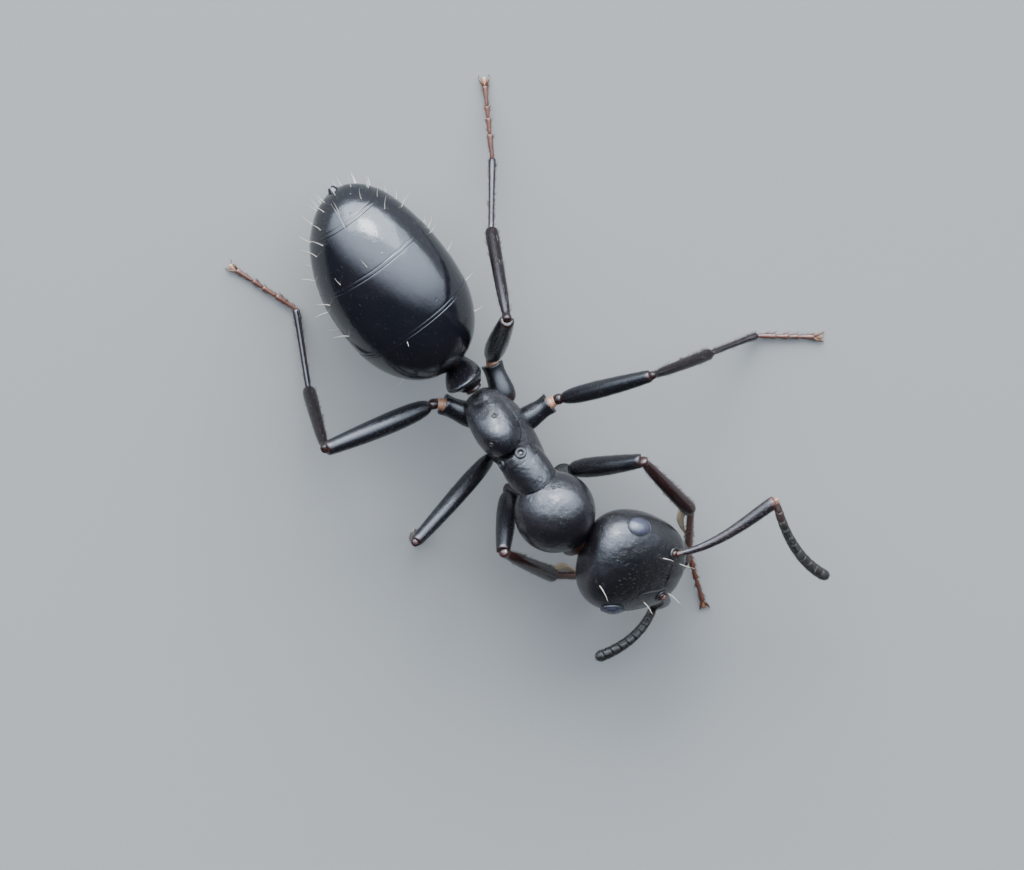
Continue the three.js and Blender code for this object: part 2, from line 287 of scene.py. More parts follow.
def towards(start, end, roll=0):
    """The place of a piece whose x axis runs from one point to another."""
    way = Vector(end) - Vector(start)
    flat = math.hypot(way.x, way.y)
    return aimed(start, math.degrees(math.atan2(way.y, way.x)), math.degrees(math.atan2(way.z, flat)), roll)


def heading(turn, rise):
    """The unit direction of a heading and a rise."""
    flat = math.cos(math.radians(rise))
    return Vector((flat * math.cos(math.radians(turn)), flat * math.sin(math.radians(turn)),
        math.sin(math.radians(rise))))


def standing(point, normal):
    """The place of a piece whose z axis stands on a surface."""
    return Matrix.Translation(Vector(point)) @ Vector(normal).to_track_quat("Z", "Y").to_matrix().to_4x4()


def dome(share, peak, blunt=2.0):
    """0 at both ends and 1 at the peak."""
    away = (peak - share) / peak if share < peak else (share - peak) / (1 - peak)
    return max(0.0, 1 - away ** blunt) ** (1 / blunt)


# ---------- finishes ----------
def add_node(tree, kind, inputs=None, **settings):
    made = tree.nodes.new(kind)
    for key, value in settings.items():
        setattr(made, key, value)
    for key, value in (inputs or {}).items():
        made.inputs[key].default_value = value
    return made


def new_effect(name, inputs, outputs):
    """A shader node group with named inputs and outputs."""
    tree = bpy.data.node_groups.new(name, "ShaderNodeTree")
    for label, kind, value in inputs:
        socket = tree.interface.new_socket(name=label, in_out="INPUT", socket_type=kind)
        if value is not None:
            socket.default_value = value
    for label, kind in outputs:
        tree.interface.new_socket(name=label, in_out="OUTPUT", socket_type=kind)
    return tree, tree.nodes.new("NodeGroupInput"), tree.nodes.new("NodeGroupOutput")


FLOAT, COLOUR, VECTOR = "NodeSocketFloat", "NodeSocketColor", "NodeSocketVector"


def make_grain():
    """Fine net of cells on a shell, with a little unevenness under it."""
    tree, given, result = new_effect(
        "Shell Grain",
        [("Place", VECTOR, None), ("Cells", FLOAT, 40.0), ("Stretch", FLOAT, 1.0), ("Net", FLOAT, 0.5),
            ("Waves", FLOAT, 0.5)],
        [("Height", FLOAT)],
    )
    link = tree.links.new
    stretch = add_node(tree, "ShaderNodeCombineXYZ", {"X": 1.0, "Z": 1.0})
    link(given.outputs["Stretch"], stretch.inputs["Y"])
    place = add_node(tree, "ShaderNodeVectorMath", operation="MULTIPLY")
    link(given.outputs["Place"], place.inputs[0])
    link(stretch.outputs[0], place.inputs[1])
    cells = add_node(tree, "ShaderNodeTexVoronoi", feature="DISTANCE_TO_EDGE")
    link(place.outputs[0], cells.inputs["Vector"])
    link(given.outputs["Cells"], cells.inputs["Scale"])
    edge = add_node(tree, "ShaderNodeMapRange",
        {"From Min": 0.0, "From Max": 0.12, "To Min": 0.0, "To Max": 1.0})
    link(cells.outputs["Distance"], edge.inputs["Value"])
    waves = add_node(tree, "ShaderNodeTexNoise", {"Scale": 5.0, "Detail": 4.0, "Roughness": 0.55})
    link(place.outputs[0], waves.inputs["Vector"])
    net = add_node(tree, "ShaderNodeMath", operation="MULTIPLY")
    link(edge.outputs[0], net.inputs[0])
    link(given.outputs["Net"], net.inputs[1])
    total = add_node(tree, "ShaderNodeMath", operation="MULTIPLY_ADD")
    link(waves.outputs["Fac"], total.inputs[0])
    link(given.outputs["Waves"], total.inputs[1])
    link(net.outputs[0], total.inputs[2])
    link(total.outputs[0], result.inputs["Height"])
    return tree


def make_pits():
    """Scattered pinpricks where the short hairs grow."""
    tree, given, result = new_effect(
        "Hair Pits",
        [("Place", VECTOR, None), ("Spread", FLOAT, 9.0), ("Size", FLOAT, 0.1)],
        [("Mask", FLOAT)],
    )
    link = tree.links.new
    dots = add_node(tree, "ShaderNodeTexVoronoi", {"Randomness": 1.0})
    link(given.outputs["Place"], dots.inputs["Vector"])
    link(given.outputs["Spread"], dots.inputs["Scale"])
    soft = add_node(tree, "ShaderNodeMapRange", {"From Min": 0.0, "To Min": 1.0, "To Max": 0.0},
        interpolation_type="SMOOTHSTEP")
    link(dots.outputs["Distance"], soft.inputs["Value"])
    link(given.outputs["Size"], soft.inputs["From Max"])
    link(soft.outputs[0], result.inputs["Mask"])
    return tree


def make_tint():
    """Drifts from the deep colour to the warm one in patches, and wherever it is told to."""
    tree, given, result = new_effect(
        "Shell Tint",
        [
            ("Place", VECTOR, None), ("Deep", COLOUR, (0.01, 0.01, 0.012, 1)),
            ("Warm", COLOUR, (0.05, 0.02, 0.01, 1)),
            ("Patches", FLOAT, 2.0), ("Drift", FLOAT, 0.3), ("Warmth", FLOAT, 0.0),
        ],
        [("Color", COLOUR)],
    )
    link = tree.links.new
    patches = add_node(tree, "ShaderNodeTexNoise", {"Detail": 5.0, "Roughness": 0.6})
    link(given.outputs["Place"], patches.inputs["Vector"])
    link(given.outputs["Patches"], patches.inputs["Scale"])
    spread = add_node(tree, "ShaderNodeMapRange",
        {"From Min": 0.35, "From Max": 0.7, "To Min": 0.0, "To Max": 1.0})
    link(patches.outputs["Fac"], spread.inputs["Value"])
    share = add_node(tree, "ShaderNodeMath", operation="MULTIPLY_ADD", use_clamp=True)
    link(spread.outputs[0], share.inputs[0])
    link(given.outputs["Drift"], share.inputs[1])
    link(given.outputs["Warmth"], share.inputs[2])
    mixed = add_node(tree, "ShaderNodeMix", data_type="RGBA")
    link(share.outputs[0], mixed.inputs[0])
    link(given.outputs["Deep"], mixed.inputs[6])
    link(given.outputs["Warm"], mixed.inputs[7])
    link(mixed.outputs[2], result.inputs["Color"])
    return tree


def make_gloss():
    """Roughness that wanders between smooth and dull, with fine dull specks of dust."""
    tree, given, result = new_effect(
        "Shell Gloss",
        [("Place", VECTOR, None), ("Smooth", FLOAT, 0.2), ("Dull", FLOAT, 0.4), ("Patches", FLOAT, 3.0),
            ("Dust", FLOAT, 0.2)],
        [("Roughness", FLOAT), ("Specks", FLOAT)],
    )
    link = tree.links.new
    patches = add_node(tree, "ShaderNodeTexNoise", {"Detail": 6.0, "Roughness": 0.65})
    link(given.outputs["Place"], patches.inputs["Vector"])
    link(given.outputs["Patches"], patches.inputs["Scale"])
    wander = add_node(tree, "ShaderNodeMapRange", {"From Min": 0.35, "From Max": 0.68})
    link(patches.outputs["Fac"], wander.inputs["Value"])
    link(given.outputs["Smooth"], wander.inputs["To Min"])
    link(given.outputs["Dull"], wander.inputs["To Max"])
    grit = add_node(tree, "ShaderNodeTexNoise", {"Scale": 45.0, "Detail": 2.0, "Roughness": 0.5})
    link(given.outputs["Place"], grit.inputs["Vector"])
    specks = add_node(tree, "ShaderNodeMapRange",
        {"From Min": 0.66, "From Max": 0.76, "To Min": 0.0, "To Max": 1.0})
    link(grit.outputs["Fac"], specks.inputs["Value"])
    dust = add_node(tree, "ShaderNodeMath", operation="MULTIPLY")
    link(specks.outputs[0], dust.inputs[0])
    link(given.outputs["Dust"], dust.inputs[1])
    rough = add_node(tree, "ShaderNodeMath", operation="ADD", use_clamp=True)
    link(wander.outputs[0], rough.inputs[0])
    link(dust.outputs[0], rough.inputs[1])
    link(rough.outputs[0], result.inputs["Roughness"])
    link(dust.outputs[0], result.inputs["Specks"])
    return tree


GRAIN, PITS, TINT, GLOSS = make_grain(), make_pits(), make_tint(), make_gloss()


def group_node(tree, group, inputs):
    made = tree.nodes.new("ShaderNodeGroup")
    made.node_tree = group
    for key, value in inputs.items():
        made.inputs[key].default_value = value
    return made


def shell_finish(
    name, deep, warm, smooth=0.2, dull=0.35, cells=45.0, net=0.4, waves=0.5, depth=0.0012, pits=0.0,
    spread=9.0,
    drift=0.3, patches=2.0, stretch=1.0, shine=0.5, coat=0.0, dust=0.15, ends=0.0, edge=(0.0, 0.12),
    speck_colour=(0.18, 0.17, 0.16, 1),
):
    """A hard cuticle: its tint, gloss, cell net and hair pits, warmer at the ends of a limb."""
    made = bpy.data.materials.new(name)
    made.use_nodes = True
    tree = made.node_tree
    tree.nodes.clear()
    link = tree.links.new
    out = tree.nodes.new("ShaderNodeOutputMaterial")
    skin = tree.nodes.new("ShaderNodeBsdfPrincipled")
    link(skin.outputs[0], out.inputs["Surface"])
    skin.inputs["IOR"].default_value = 1.57
    skin.inputs["Specular IOR Level"].default_value = shine
    skin.inputs["Coat Weight"].default_value = coat
    skin.inputs["Coat Roughness"].default_value = 0.16
    place = add_node(tree, "ShaderNodeMapping", {"Scale": (1000, 1000, 1000)})
    link(tree.nodes.new("ShaderNodeTexCoord").outputs["Object"], place.inputs["Vector"])
    tint = group_node(tree, TINT,
        {"Deep": (*deep, 1), "Warm": (*warm, 1), "Patches": patches, "Drift": drift})
    gloss = group_node(tree, GLOSS, {"Smooth": smooth, "Dull": dull, "Dust": dust})
    grain = group_node(tree, GRAIN, {"Cells": cells, "Stretch": stretch, "Net": net, "Waves": waves})
    for effect in (tint, gloss, grain):
        link(place.outputs[0], effect.inputs["Place"])
    if ends:
        reach = add_node(tree, "ShaderNodeAttribute", attribute_name="reach")
        middle = add_node(tree, "ShaderNodeMath", {1: 0.5}, operation="SUBTRACT")
        link(reach.outputs["Fac"], middle.inputs[0])
        away = add_node(tree, "ShaderNodeMath", operation="ABSOLUTE")
        link(middle.outputs[0], away.inputs[0])
        near = add_node(tree, "ShaderNodeMapRange",
            {"From Min": 0.5 - edge[1], "From Max": 0.5 - edge[0], "To Min": 0.0, "To Max": ends})
        link(away.outputs[0], near.inputs["Value"])
        link(near.outputs[0], tint.inputs["Warmth"])
    dusted = add_node(tree, "ShaderNodeMix", {7: speck_colour}, data_type="RGBA")
    link(gloss.outputs["Specks"], dusted.inputs[0])
    link(tint.outputs["Color"], dusted.inputs[6])
    link(dusted.outputs[2], skin.inputs["Base Color"])
    link(gloss.outputs["Roughness"], skin.inputs["Roughness"])
    height = grain.outputs["Height"]
    if pits:
        pricks = group_node(tree, PITS, {"Spread": spread, "Size": 0.1})
        link(place.outputs[0], pricks.inputs["Place"])
        sunk = add_node(tree, "ShaderNodeMath", {1: -pits}, operation="MULTIPLY")
        link(pricks.outputs["Mask"], sunk.inputs[0])
        both = add_node(tree, "ShaderNodeMath", operation="ADD")
        link(sunk.outputs[0], both.inputs[0])
        link(height, both.inputs[1])
        height = both.outputs[0]
    bump = add_node(tree, "ShaderNodeBump", {"Strength": 1.0, "Distance": depth * 0.001})
    link(height, bump.inputs["Height"])
    link(bump.outputs[0], skin.inputs["Normal"])
    return made


# The deep colours of the black shell finishes below lean a little to blue: partly the real black cuticle,
# partly a painted reflection of the blue sky.
GASTER_BLACK = shell_finish(
    "gaster_black", (0.0028, 0.003, 0.0045), (0.009, 0.007, 0.008), smooth=0.07, dull=0.12, cells=34,
    net=0.03,
    waves=0.35, depth=0.012, pits=0.5, spread=3.6, drift=0.35, stretch=0.35, ends=0.25, edge=(0.0, 0.03),
    dust=0.12,
)
TRUNK_BLACK = shell_finish(
    "trunk_black", (0.004, 0.004, 0.0055), (0.014, 0.008, 0.007), smooth=0.08, dull=0.14, cells=52,
    net=0.03,
    waves=0.8, depth=0.03, pits=0.15, spread=5.0, dust=0.08,
)
FLANK_BLACK = shell_finish(
    "flank_black", (0.006, 0.006, 0.007), (0.02, 0.012, 0.009), smooth=0.14, dull=0.24, cells=38, net=0.08,
    waves=1.0, depth=0.03, pits=0.12, spread=6.0, stretch=0.5,
)
HEAD_BLACK = shell_finish(
    "head_black", (0.004, 0.004, 0.005), (0.013, 0.008, 0.007), smooth=0.1, dull=0.17, cells=48, net=0.04,
    waves=0.7, depth=0.026, pits=0.2, spread=9.0, dust=0.08,
)
LEG_BLACK = shell_finish(
    "leg_black", (0.004, 0.004, 0.005), (0.018, 0.007, 0.005), smooth=0.14, dull=0.25, cells=36, net=0.5,
    waves=1.0, depth=0.002, pits=1.5, spread=9.0, drift=0.05, stretch=0.6, ends=0.7, edge=(0.0, 0.05),
    shine=0.4,
)
SHIN_BROWN = shell_finish(
    "shin_brown", (0.009, 0.003, 0.0028), (0.03, 0.009, 0.006), smooth=0.1, dull=0.18, cells=40, net=0.4,
    waves=0.5, depth=0.0014, pits=1.5, spread=10.0, drift=0.3, stretch=0.5, ends=0.7, edge=(0.0, 0.12),
)
SHIN_PLUM = shell_finish(
    "shin_plum", (0.004, 0.002, 0.003), (0.018, 0.006, 0.005), smooth=0.09, dull=0.16, cells=40, net=0.4,
    waves=0.5, depth=0.0014, pits=1.5, spread=10.0, drift=0.25, stretch=0.5, ends=0.6, edge=(0.0, 0.06),
)
SHIN_DUSK = shell_finish(
    "shin_dusk", (0.003, 0.0018, 0.0024), (0.014, 0.005, 0.004), smooth=0.13, dull=0.22, cells=40, net=0.4,
    waves=0.5, depth=0.0014, pits=1.5, spread=10.0, drift=0.25, stretch=0.5, shine=0.26, ends=0.5,
    edge=(0.0, 0.06),
)
FOOT_AMBER = shell_finish(
    "foot_amber", (0.0624, 0.0192, 0.0106), (0.13, 0.0504, 0.0288), smooth=0.26, dull=0.42, cells=46,
    net=0.6,
    waves=0.8, depth=0.0014, pits=1.0, spread=12.0, drift=0.5, ends=0.5, edge=(0.0, 0.1),
)
JOINT_AMBER = shell_finish(
    "joint_amber", (0.228, 0.102, 0.054), (0.33, 0.192, 0.12), smooth=0.3, dull=0.5, cells=60, net=0.4,
    waves=1.2, depth=0.0018, drift=0.6, patches=5.0,
)
HIP_BROWN = shell_finish(
    "hip_brown", (0.008, 0.003, 0.0025), (0.035, 0.009, 0.006), smooth=0.2, dull=0.32, cells=44, net=0.5,
    waves=0.8, depth=0.0016, drift=0.45, patches=4.0, ends=0.5, edge=(0.0, 0.2),
)
COLLAR_BROWN = shell_finish(
    "collar_brown", (0.018, 0.0054, 0.0036), (0.078, 0.0216, 0.0108), smooth=0.24, dull=0.4, cells=44,
    net=0.6,
    waves=0.8, depth=0.0016, drift=0.5, patches=3.0,
)
JAW_BROWN = shell_finish(
    "jaw_brown", (0.0084, 0.0048, 0.0042), (0.072, 0.021, 0.0096), smooth=0.2, dull=0.34, cells=26, net=0.6,
    waves=1.2, depth=0.0022, drift=0.5, stretch=0.25, ends=0.6, edge=(0.0, 0.2),
)
FEELER_PLUM = shell_finish(
    "feeler_plum", (0.0048, 0.003, 0.0048), (0.06, 0.018, 0.0102), smooth=0.15, dull=0.26, cells=42,
    net=0.9,
    waves=0.8, depth=0.0022, pits=3.0, spread=12.0, drift=0.15, stretch=0.6, ends=0.9, edge=(0.0, 0.06),
)
FEELER_GREEN = shell_finish(
    "feeler_green", (0.0036, 0.0054, 0.0042), (0.036, 0.0132, 0.0066), smooth=0.24, dull=0.38, cells=55,
    net=0.8,
    waves=0.6, depth=0.0016, pits=1.0, spread=16.0, drift=0.25, ends=0.9,
)
EYE_BLUE = shell_finish(
    "eye_blue", (0.022, 0.023, 0.034), (0.034, 0.033, 0.048), smooth=0.25, dull=0.35, cells=60, net=0.2,
    waves=0.3, depth=0.0006, drift=0.5, patches=4.0, coat=0.15, dust=0.05,
)
EYE_RIM = shell_finish(
    "eye_rim", (0.004, 0.004, 0.005), (0.012, 0.008, 0.007), smooth=0.3, dull=0.45, cells=60, net=0.6,
    waves=0.6,
    depth=0.0014,
)
PORE_BLACK = shell_finish(
    "pore_black", (0.0025, 0.0025, 0.003), (0.008, 0.006, 0.005), smooth=0.45, dull=0.65, cells=70, net=0.6,
    waves=0.6, depth=0.001,
)
CLAW_DARK = shell_finish(
    "claw_dark", (0.03, 0.0108, 0.0048), (0.12, 0.048, 0.018), smooth=0.18, dull=0.3, cells=60, net=0.2,
    waves=0.6, depth=0.0008, drift=0.5,
)
PAD_PALE = shell_finish(
    "pad_pale", (0.252, 0.18, 0.102), (0.36, 0.288, 0.192), smooth=0.4, dull=0.6, cells=70, net=0.4,
    waves=0.8, depth=0.0012, drift=0.6, patches=8.0,
)
HAIR_PALE = shell_finish(
    "hair_pale", (0.372, 0.33, 0.264), (0.48, 0.444, 0.372), smooth=0.3, dull=0.45, cells=90, net=0.1,
    waves=0.3, depth=0.0003, drift=0.6, patches=6.0, dust=0.0,
)
HAIR_FINE = shell_finish(
    "hair_fine", (0.03, 0.0252, 0.021), (0.084, 0.072, 0.057), smooth=0.35, dull=0.5, cells=90, net=0.1,
    waves=0.3, depth=0.0003, drift=0.6, patches=6.0, dust=0.0,
)
HAIR_DARK = shell_finish(
    "hair_dark", (0.0072, 0.0042, 0.0036), (0.024, 0.015, 0.012), smooth=0.3, dull=0.45, cells=90, net=0.1,
    waves=0.3, depth=0.0003, drift=0.5, patches=6.0, dust=0.0,
)
BRISTLE_RUST = shell_finish(
    "bristle_rust", (0.015, 0.006, 0.0042), (0.096, 0.048, 0.027), smooth=0.3, dull=0.45, cells=90, net=0.1,
    waves=0.3, depth=0.0003, drift=0.6, patches=6.0, dust=0.0,
)


def finished(piece, finish, slot, *nodes):
    """Gives a piece its finish and sets it into the frame."""
    piece.data.materials.clear()
    piece.data.materials.append(finish)
    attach(piece, "root")
    if nodes:
        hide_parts(*nodes)
    return piece


def laid_in(piece, matrix=None, angle=40):
    """Sets a piece into the frame at its real size and smooths its shading."""
    turned(piece, INTO_FRAME @ (matrix if matrix is not None else Matrix.Identity(4)))
    take(piece)
    bpy.ops.object.shade_smooth_by_angle(angle=math.radians(angle))
    put_down()
    return piece


# ---------- hairs ----------
def hair_pattern(sides, cuts):
    """One hair: a slim cone of unit height that bows forward a little."""
    put_down()
    bpy.ops.mesh.primitive_cone_add(vertices=sides, radius1=1, radius2=0.16, depth=1, location=(0, 0, 0.5))
    piece = bpy.context.object
    bpy.ops.object.transform_apply(location=True)
    bpy.ops.object.mode_set(mode="EDIT")
    for level in cuts:
        bpy.ops.mesh.select_all(action="SELECT")
        bpy.ops.mesh.bisect(plane_co=(0, 0, level), plane_no=(0, 0, 1))
    put_down()
    points = np.array([v.co for v in piece.data.vertices])
    faces = [tuple(p.vertices) for p in piece.data.polygons if p.center.z > 0.001]
    thrown(piece)
    return points, faces


STOUT_HAIR = hair_pattern(5, (0.3, 0.55, 0.8))
FINE_HAIR = hair_pattern(3, (0.5,))


SAMPLE_STEP = 2e-7  # metres; finer than any detail, coarser than rounding


def skin_samples(piece, count, seed, wanted=None):
    """Roots and smooth normals scattered evenly over a skin."""
    rng = np.random.default_rng(seed)
    mesh = piece.data
    mesh.calc_loop_triangles()
    co = np.array([v.co for v in mesh.vertices])
    nor = np.array([v.normal for v in mesh.vertices])
    tri = np.array([t.vertices[:] for t in mesh.loop_triangles])
    # subdivision may number its points anew each time, so points and triangles are ranked by place
    rank = np.empty(len(co), dtype=int)
    rank[np.lexsort(np.round(co / SAMPLE_STEP).T)] = np.arange(len(co))
    tri = np.take_along_axis(tri, np.argsort(rank[tri], axis=1), axis=1)
    tri = tri[np.lexsort(rank[tri].T)]
    a, b, c = co[tri[:, 0]], co[tri[:, 1]], co[tri[:, 2]]
    area = np.linalg.norm(np.cross(b - a, c - a), axis=1)
    weight = area / area.sum()
    roots, normals = [], []
    draws = count * 2 if wanted is None else count * 40
    while len(roots) < count:
        chosen = rng.choice(len(tri), size=draws, p=weight)
        r1, r2 = np.sqrt(rng.random(draws)), rng.random(draws)
        w = np.stack([1 - r1, r1 * (1 - r2), r1 * r2], 1)
        spots = np.einsum("ij,ijk->ik", w, co[tri[chosen]])
        ways = np.einsum("ij,ijk->ik", w, nor[tri[chosen]])
        ways /= np.linalg.norm(ways, axis=1, keepdims=True) + 1e-12
        for spot, way in zip(spots, ways):
            if wanted is None or rng.random() < wanted(spot, way):
                roots.append(spot)
                normals.append(way)
                if len(roots) == count:
                    break
        if wanted is not None and len(roots) == 0:
            break
    return np.array(roots), np.array(normals), rng


def unwrapped(roots, place, length, slot_index, slots):
    """Where roots lie on the skin rolled out flat around its own x axis, in one strip of the sheet."""
    local = np.array([(place.inverted() @ Vector(r))[:] for r in roots])
    around = np.arctan2(local[:, 2], local[:, 1]) / (2 * math.pi) + 0.5
    along = np.clip(local[:, 0] / length, 0, 1)
    u = 0.01 + 0.98 * around
    v = (slot_index + 0.05 + 0.9 * along) / slots
    return np.stack([u, v], 1)


def grown(name, tufts, pattern, finish, slot):
    """All hairs of one coat as a single mesh: each tuft is (root, way, bow, length, thickness, patch)."""
    points, faces = pattern
    size = len(points)
    roots = np.array([t[0] for t in tufts])
    ways = np.array([t[1] for t in tufts])
    bows = np.array([t[2] for t in tufts])
    lengths = np.array([t[3] for t in tufts])
    thick = np.array([t[4] for t in tufts])
    patches = np.array([t[5] for t in tufts])
    ways /= np.linalg.norm(ways, axis=1, keepdims=True)
    side = np.cross(ways, bows)
    side /= np.linalg.norm(side, axis=1, keepdims=True) + 1e-12
    front = np.cross(side, ways)
    lean = points[:, 2] ** 2 * 0.22
    co = (
        roots[:, None, :]
        + side[:, None, :] * points[None, :, 1:2] * thick[:, None, None]
        + front[:, None,
            :] * (points[None, :, 0:1] * thick[:, None, None] + lean[None, :, None] * lengths[:, None,
                None])
        + ways[:, None, :] * (points[None, :, 2:3] - 0.06) * lengths[:, None, None]
    ).reshape(-1, 3)
    all_faces = [tuple(i + n * size for i in face) for n in range(len(tufts)) for face in faces]
    mesh = bpy.data.meshes.new(name)
    mesh.from_pydata(co.tolist(), [], all_faces)
    patch = mesh.uv_layers.new(name="OFBake")
    corner = np.array([i for face in all_faces for i in face])
    shift = np.stack([points[:, 0], points[:, 2] * 2 - 1], 1) * 0.0013
    uv = np.repeat(patches, size, axis=0) + np.tile(shift, (len(tufts), 1))
    patch.data.foreach_set("uv", uv[corner].astype(np.float32).ravel())
    piece = bpy.data.objects.new(name, mesh)
    bpy.context.collection.objects.link(piece)
    take(piece)
    bpy.ops.object.shade_smooth_by_angle(angle=math.radians(60))
    put_down()
    return finished(piece, finish, slot)


def flat_hairs(piece, place, length, count, seed, hair_length, thick, index, slots, lay=None, lift=0.25,
        wanted=None):
    """Short hairs that lie along a skin, from its root end to its tip."""
    roots, normals, rng = skin_samples(piece, count, seed, wanted)
    patches = unwrapped(roots, place, length, index, slots)
    down = np.array((place.to_3x3() @ Vector((1, 0, 0))).normalized()) if lay is None else np.array(lay)
    tufts = []
    for root, normal, patch in zip(roots, normals, patches):
        flat = down - normal * down.dot(normal) + rng.normal(0, 0.18, 3)
        flat /= np.linalg.norm(flat) + 1e-9
        way = flat + normal * (lift + rng.random() * 0.25)
        tufts.append((root, way, -normal, hair_length * rng.uniform(0.7, 1.25),
            thick * rng.uniform(0.8, 1.2), patch))
    return tufts


# ---------- head ----------
HEAD = Matrix.Translation((-0.055, -0.005, 0.0)) @ aimed(HEAD_AT, HEAD_TURN - 87, -HEAD_NOD)


def head_ring(share, inset=0.015):
    """Widest across the eyes, square behind, narrowing to the mouth."""
    rear = dome(min(share, 0.42), 0.42, 2.7)
    narrowing = 1 - 0.39 * (max(0.0, share - 0.42) / 0.58) ** 1.7
    mouth = dome(max(share, 0.78), 0.78, 2.4) * 0.5 + 0.5
    flatness = 1 - max(0.0, share - 0.4) ** 2
    wide = HEAD_WIDTH / 2 * rear * narrowing * mouth - inset
    high = HEAD_DEPTH / 2 * rear * flatness * mouth - inset
    return (HEAD_LENGTH * (share - 0.5), max(wide, 0.02), max(high, 0.02), 0, -0.06 * share)


def make_capsule():
    shares = (0.012, 0.03, 0.07, 0.13, 0.21, 0.31, 0.42, 0.52, 0.62, 0.71, 0.79, 0.86, 0.92, 0.96, 0.985)
    piece = drawn_out("head_capsule", [head_ring(s) for s in shares], sides=32, square=2.25)
    open_up(piece)
    # a shallow groove under the head, from the mouth to the neck
    pick(piece, "VERT", lambda at, up: abs(at.y) < 0.03 and at.z < -0.2 and -0.8 < at.x < 0.7)
    bpy.ops.transform.translate(value=(0, 0, 0.035))
    # the mouth is sunk between the jaws
    pick(piece, "FACE", lambda at, up: up.x > 0.9 and at.x > 0.9)
    bpy.ops.mesh.inset(thickness=0.05)
    bpy.ops.transform.translate(value=(-0.1, 0, -0.02))
    rounded(piece, 2)
    return piece


def head_surface(capsule, x, y, under=False):
    """The point of the capsule above or below (x, y), and its normal."""
    start = Vector((x, y, -3 if under else 3))
    hit, at, normal, _ = capsule.ray_cast(start, Vector((0, 0, 1 if under else -1)))
    return (at, normal) if hit else (Vector((x, y, 0)), Vector((0, 0, 1)))


def trimmed_plate(capsule, name, cuts, lift, thick):
    """A plate cut from the skin of another piece: cuts are (point, normal), and the normal side goes."""
    piece = copied(capsule, name)
    open_up(piece)
    for at, normal in cuts:
        bpy.ops.mesh.select_all(action="SELECT")
        bpy.ops.mesh.bisect(plane_co=at, plane_no=normal, clear_outer=True)
    bpy.ops.mesh.select_all(action="SELECT")
    bpy.ops.transform.shrink_fatten(value=lift)
    put_down()
    modify(piece, "SOLIDIFY", thickness=thick, offset=-1)
    modify(piece, "BEVEL", width=lift * 0.7, segments=2, limit_method="ANGLE", angle_limit=math.radians(50))
    return piece


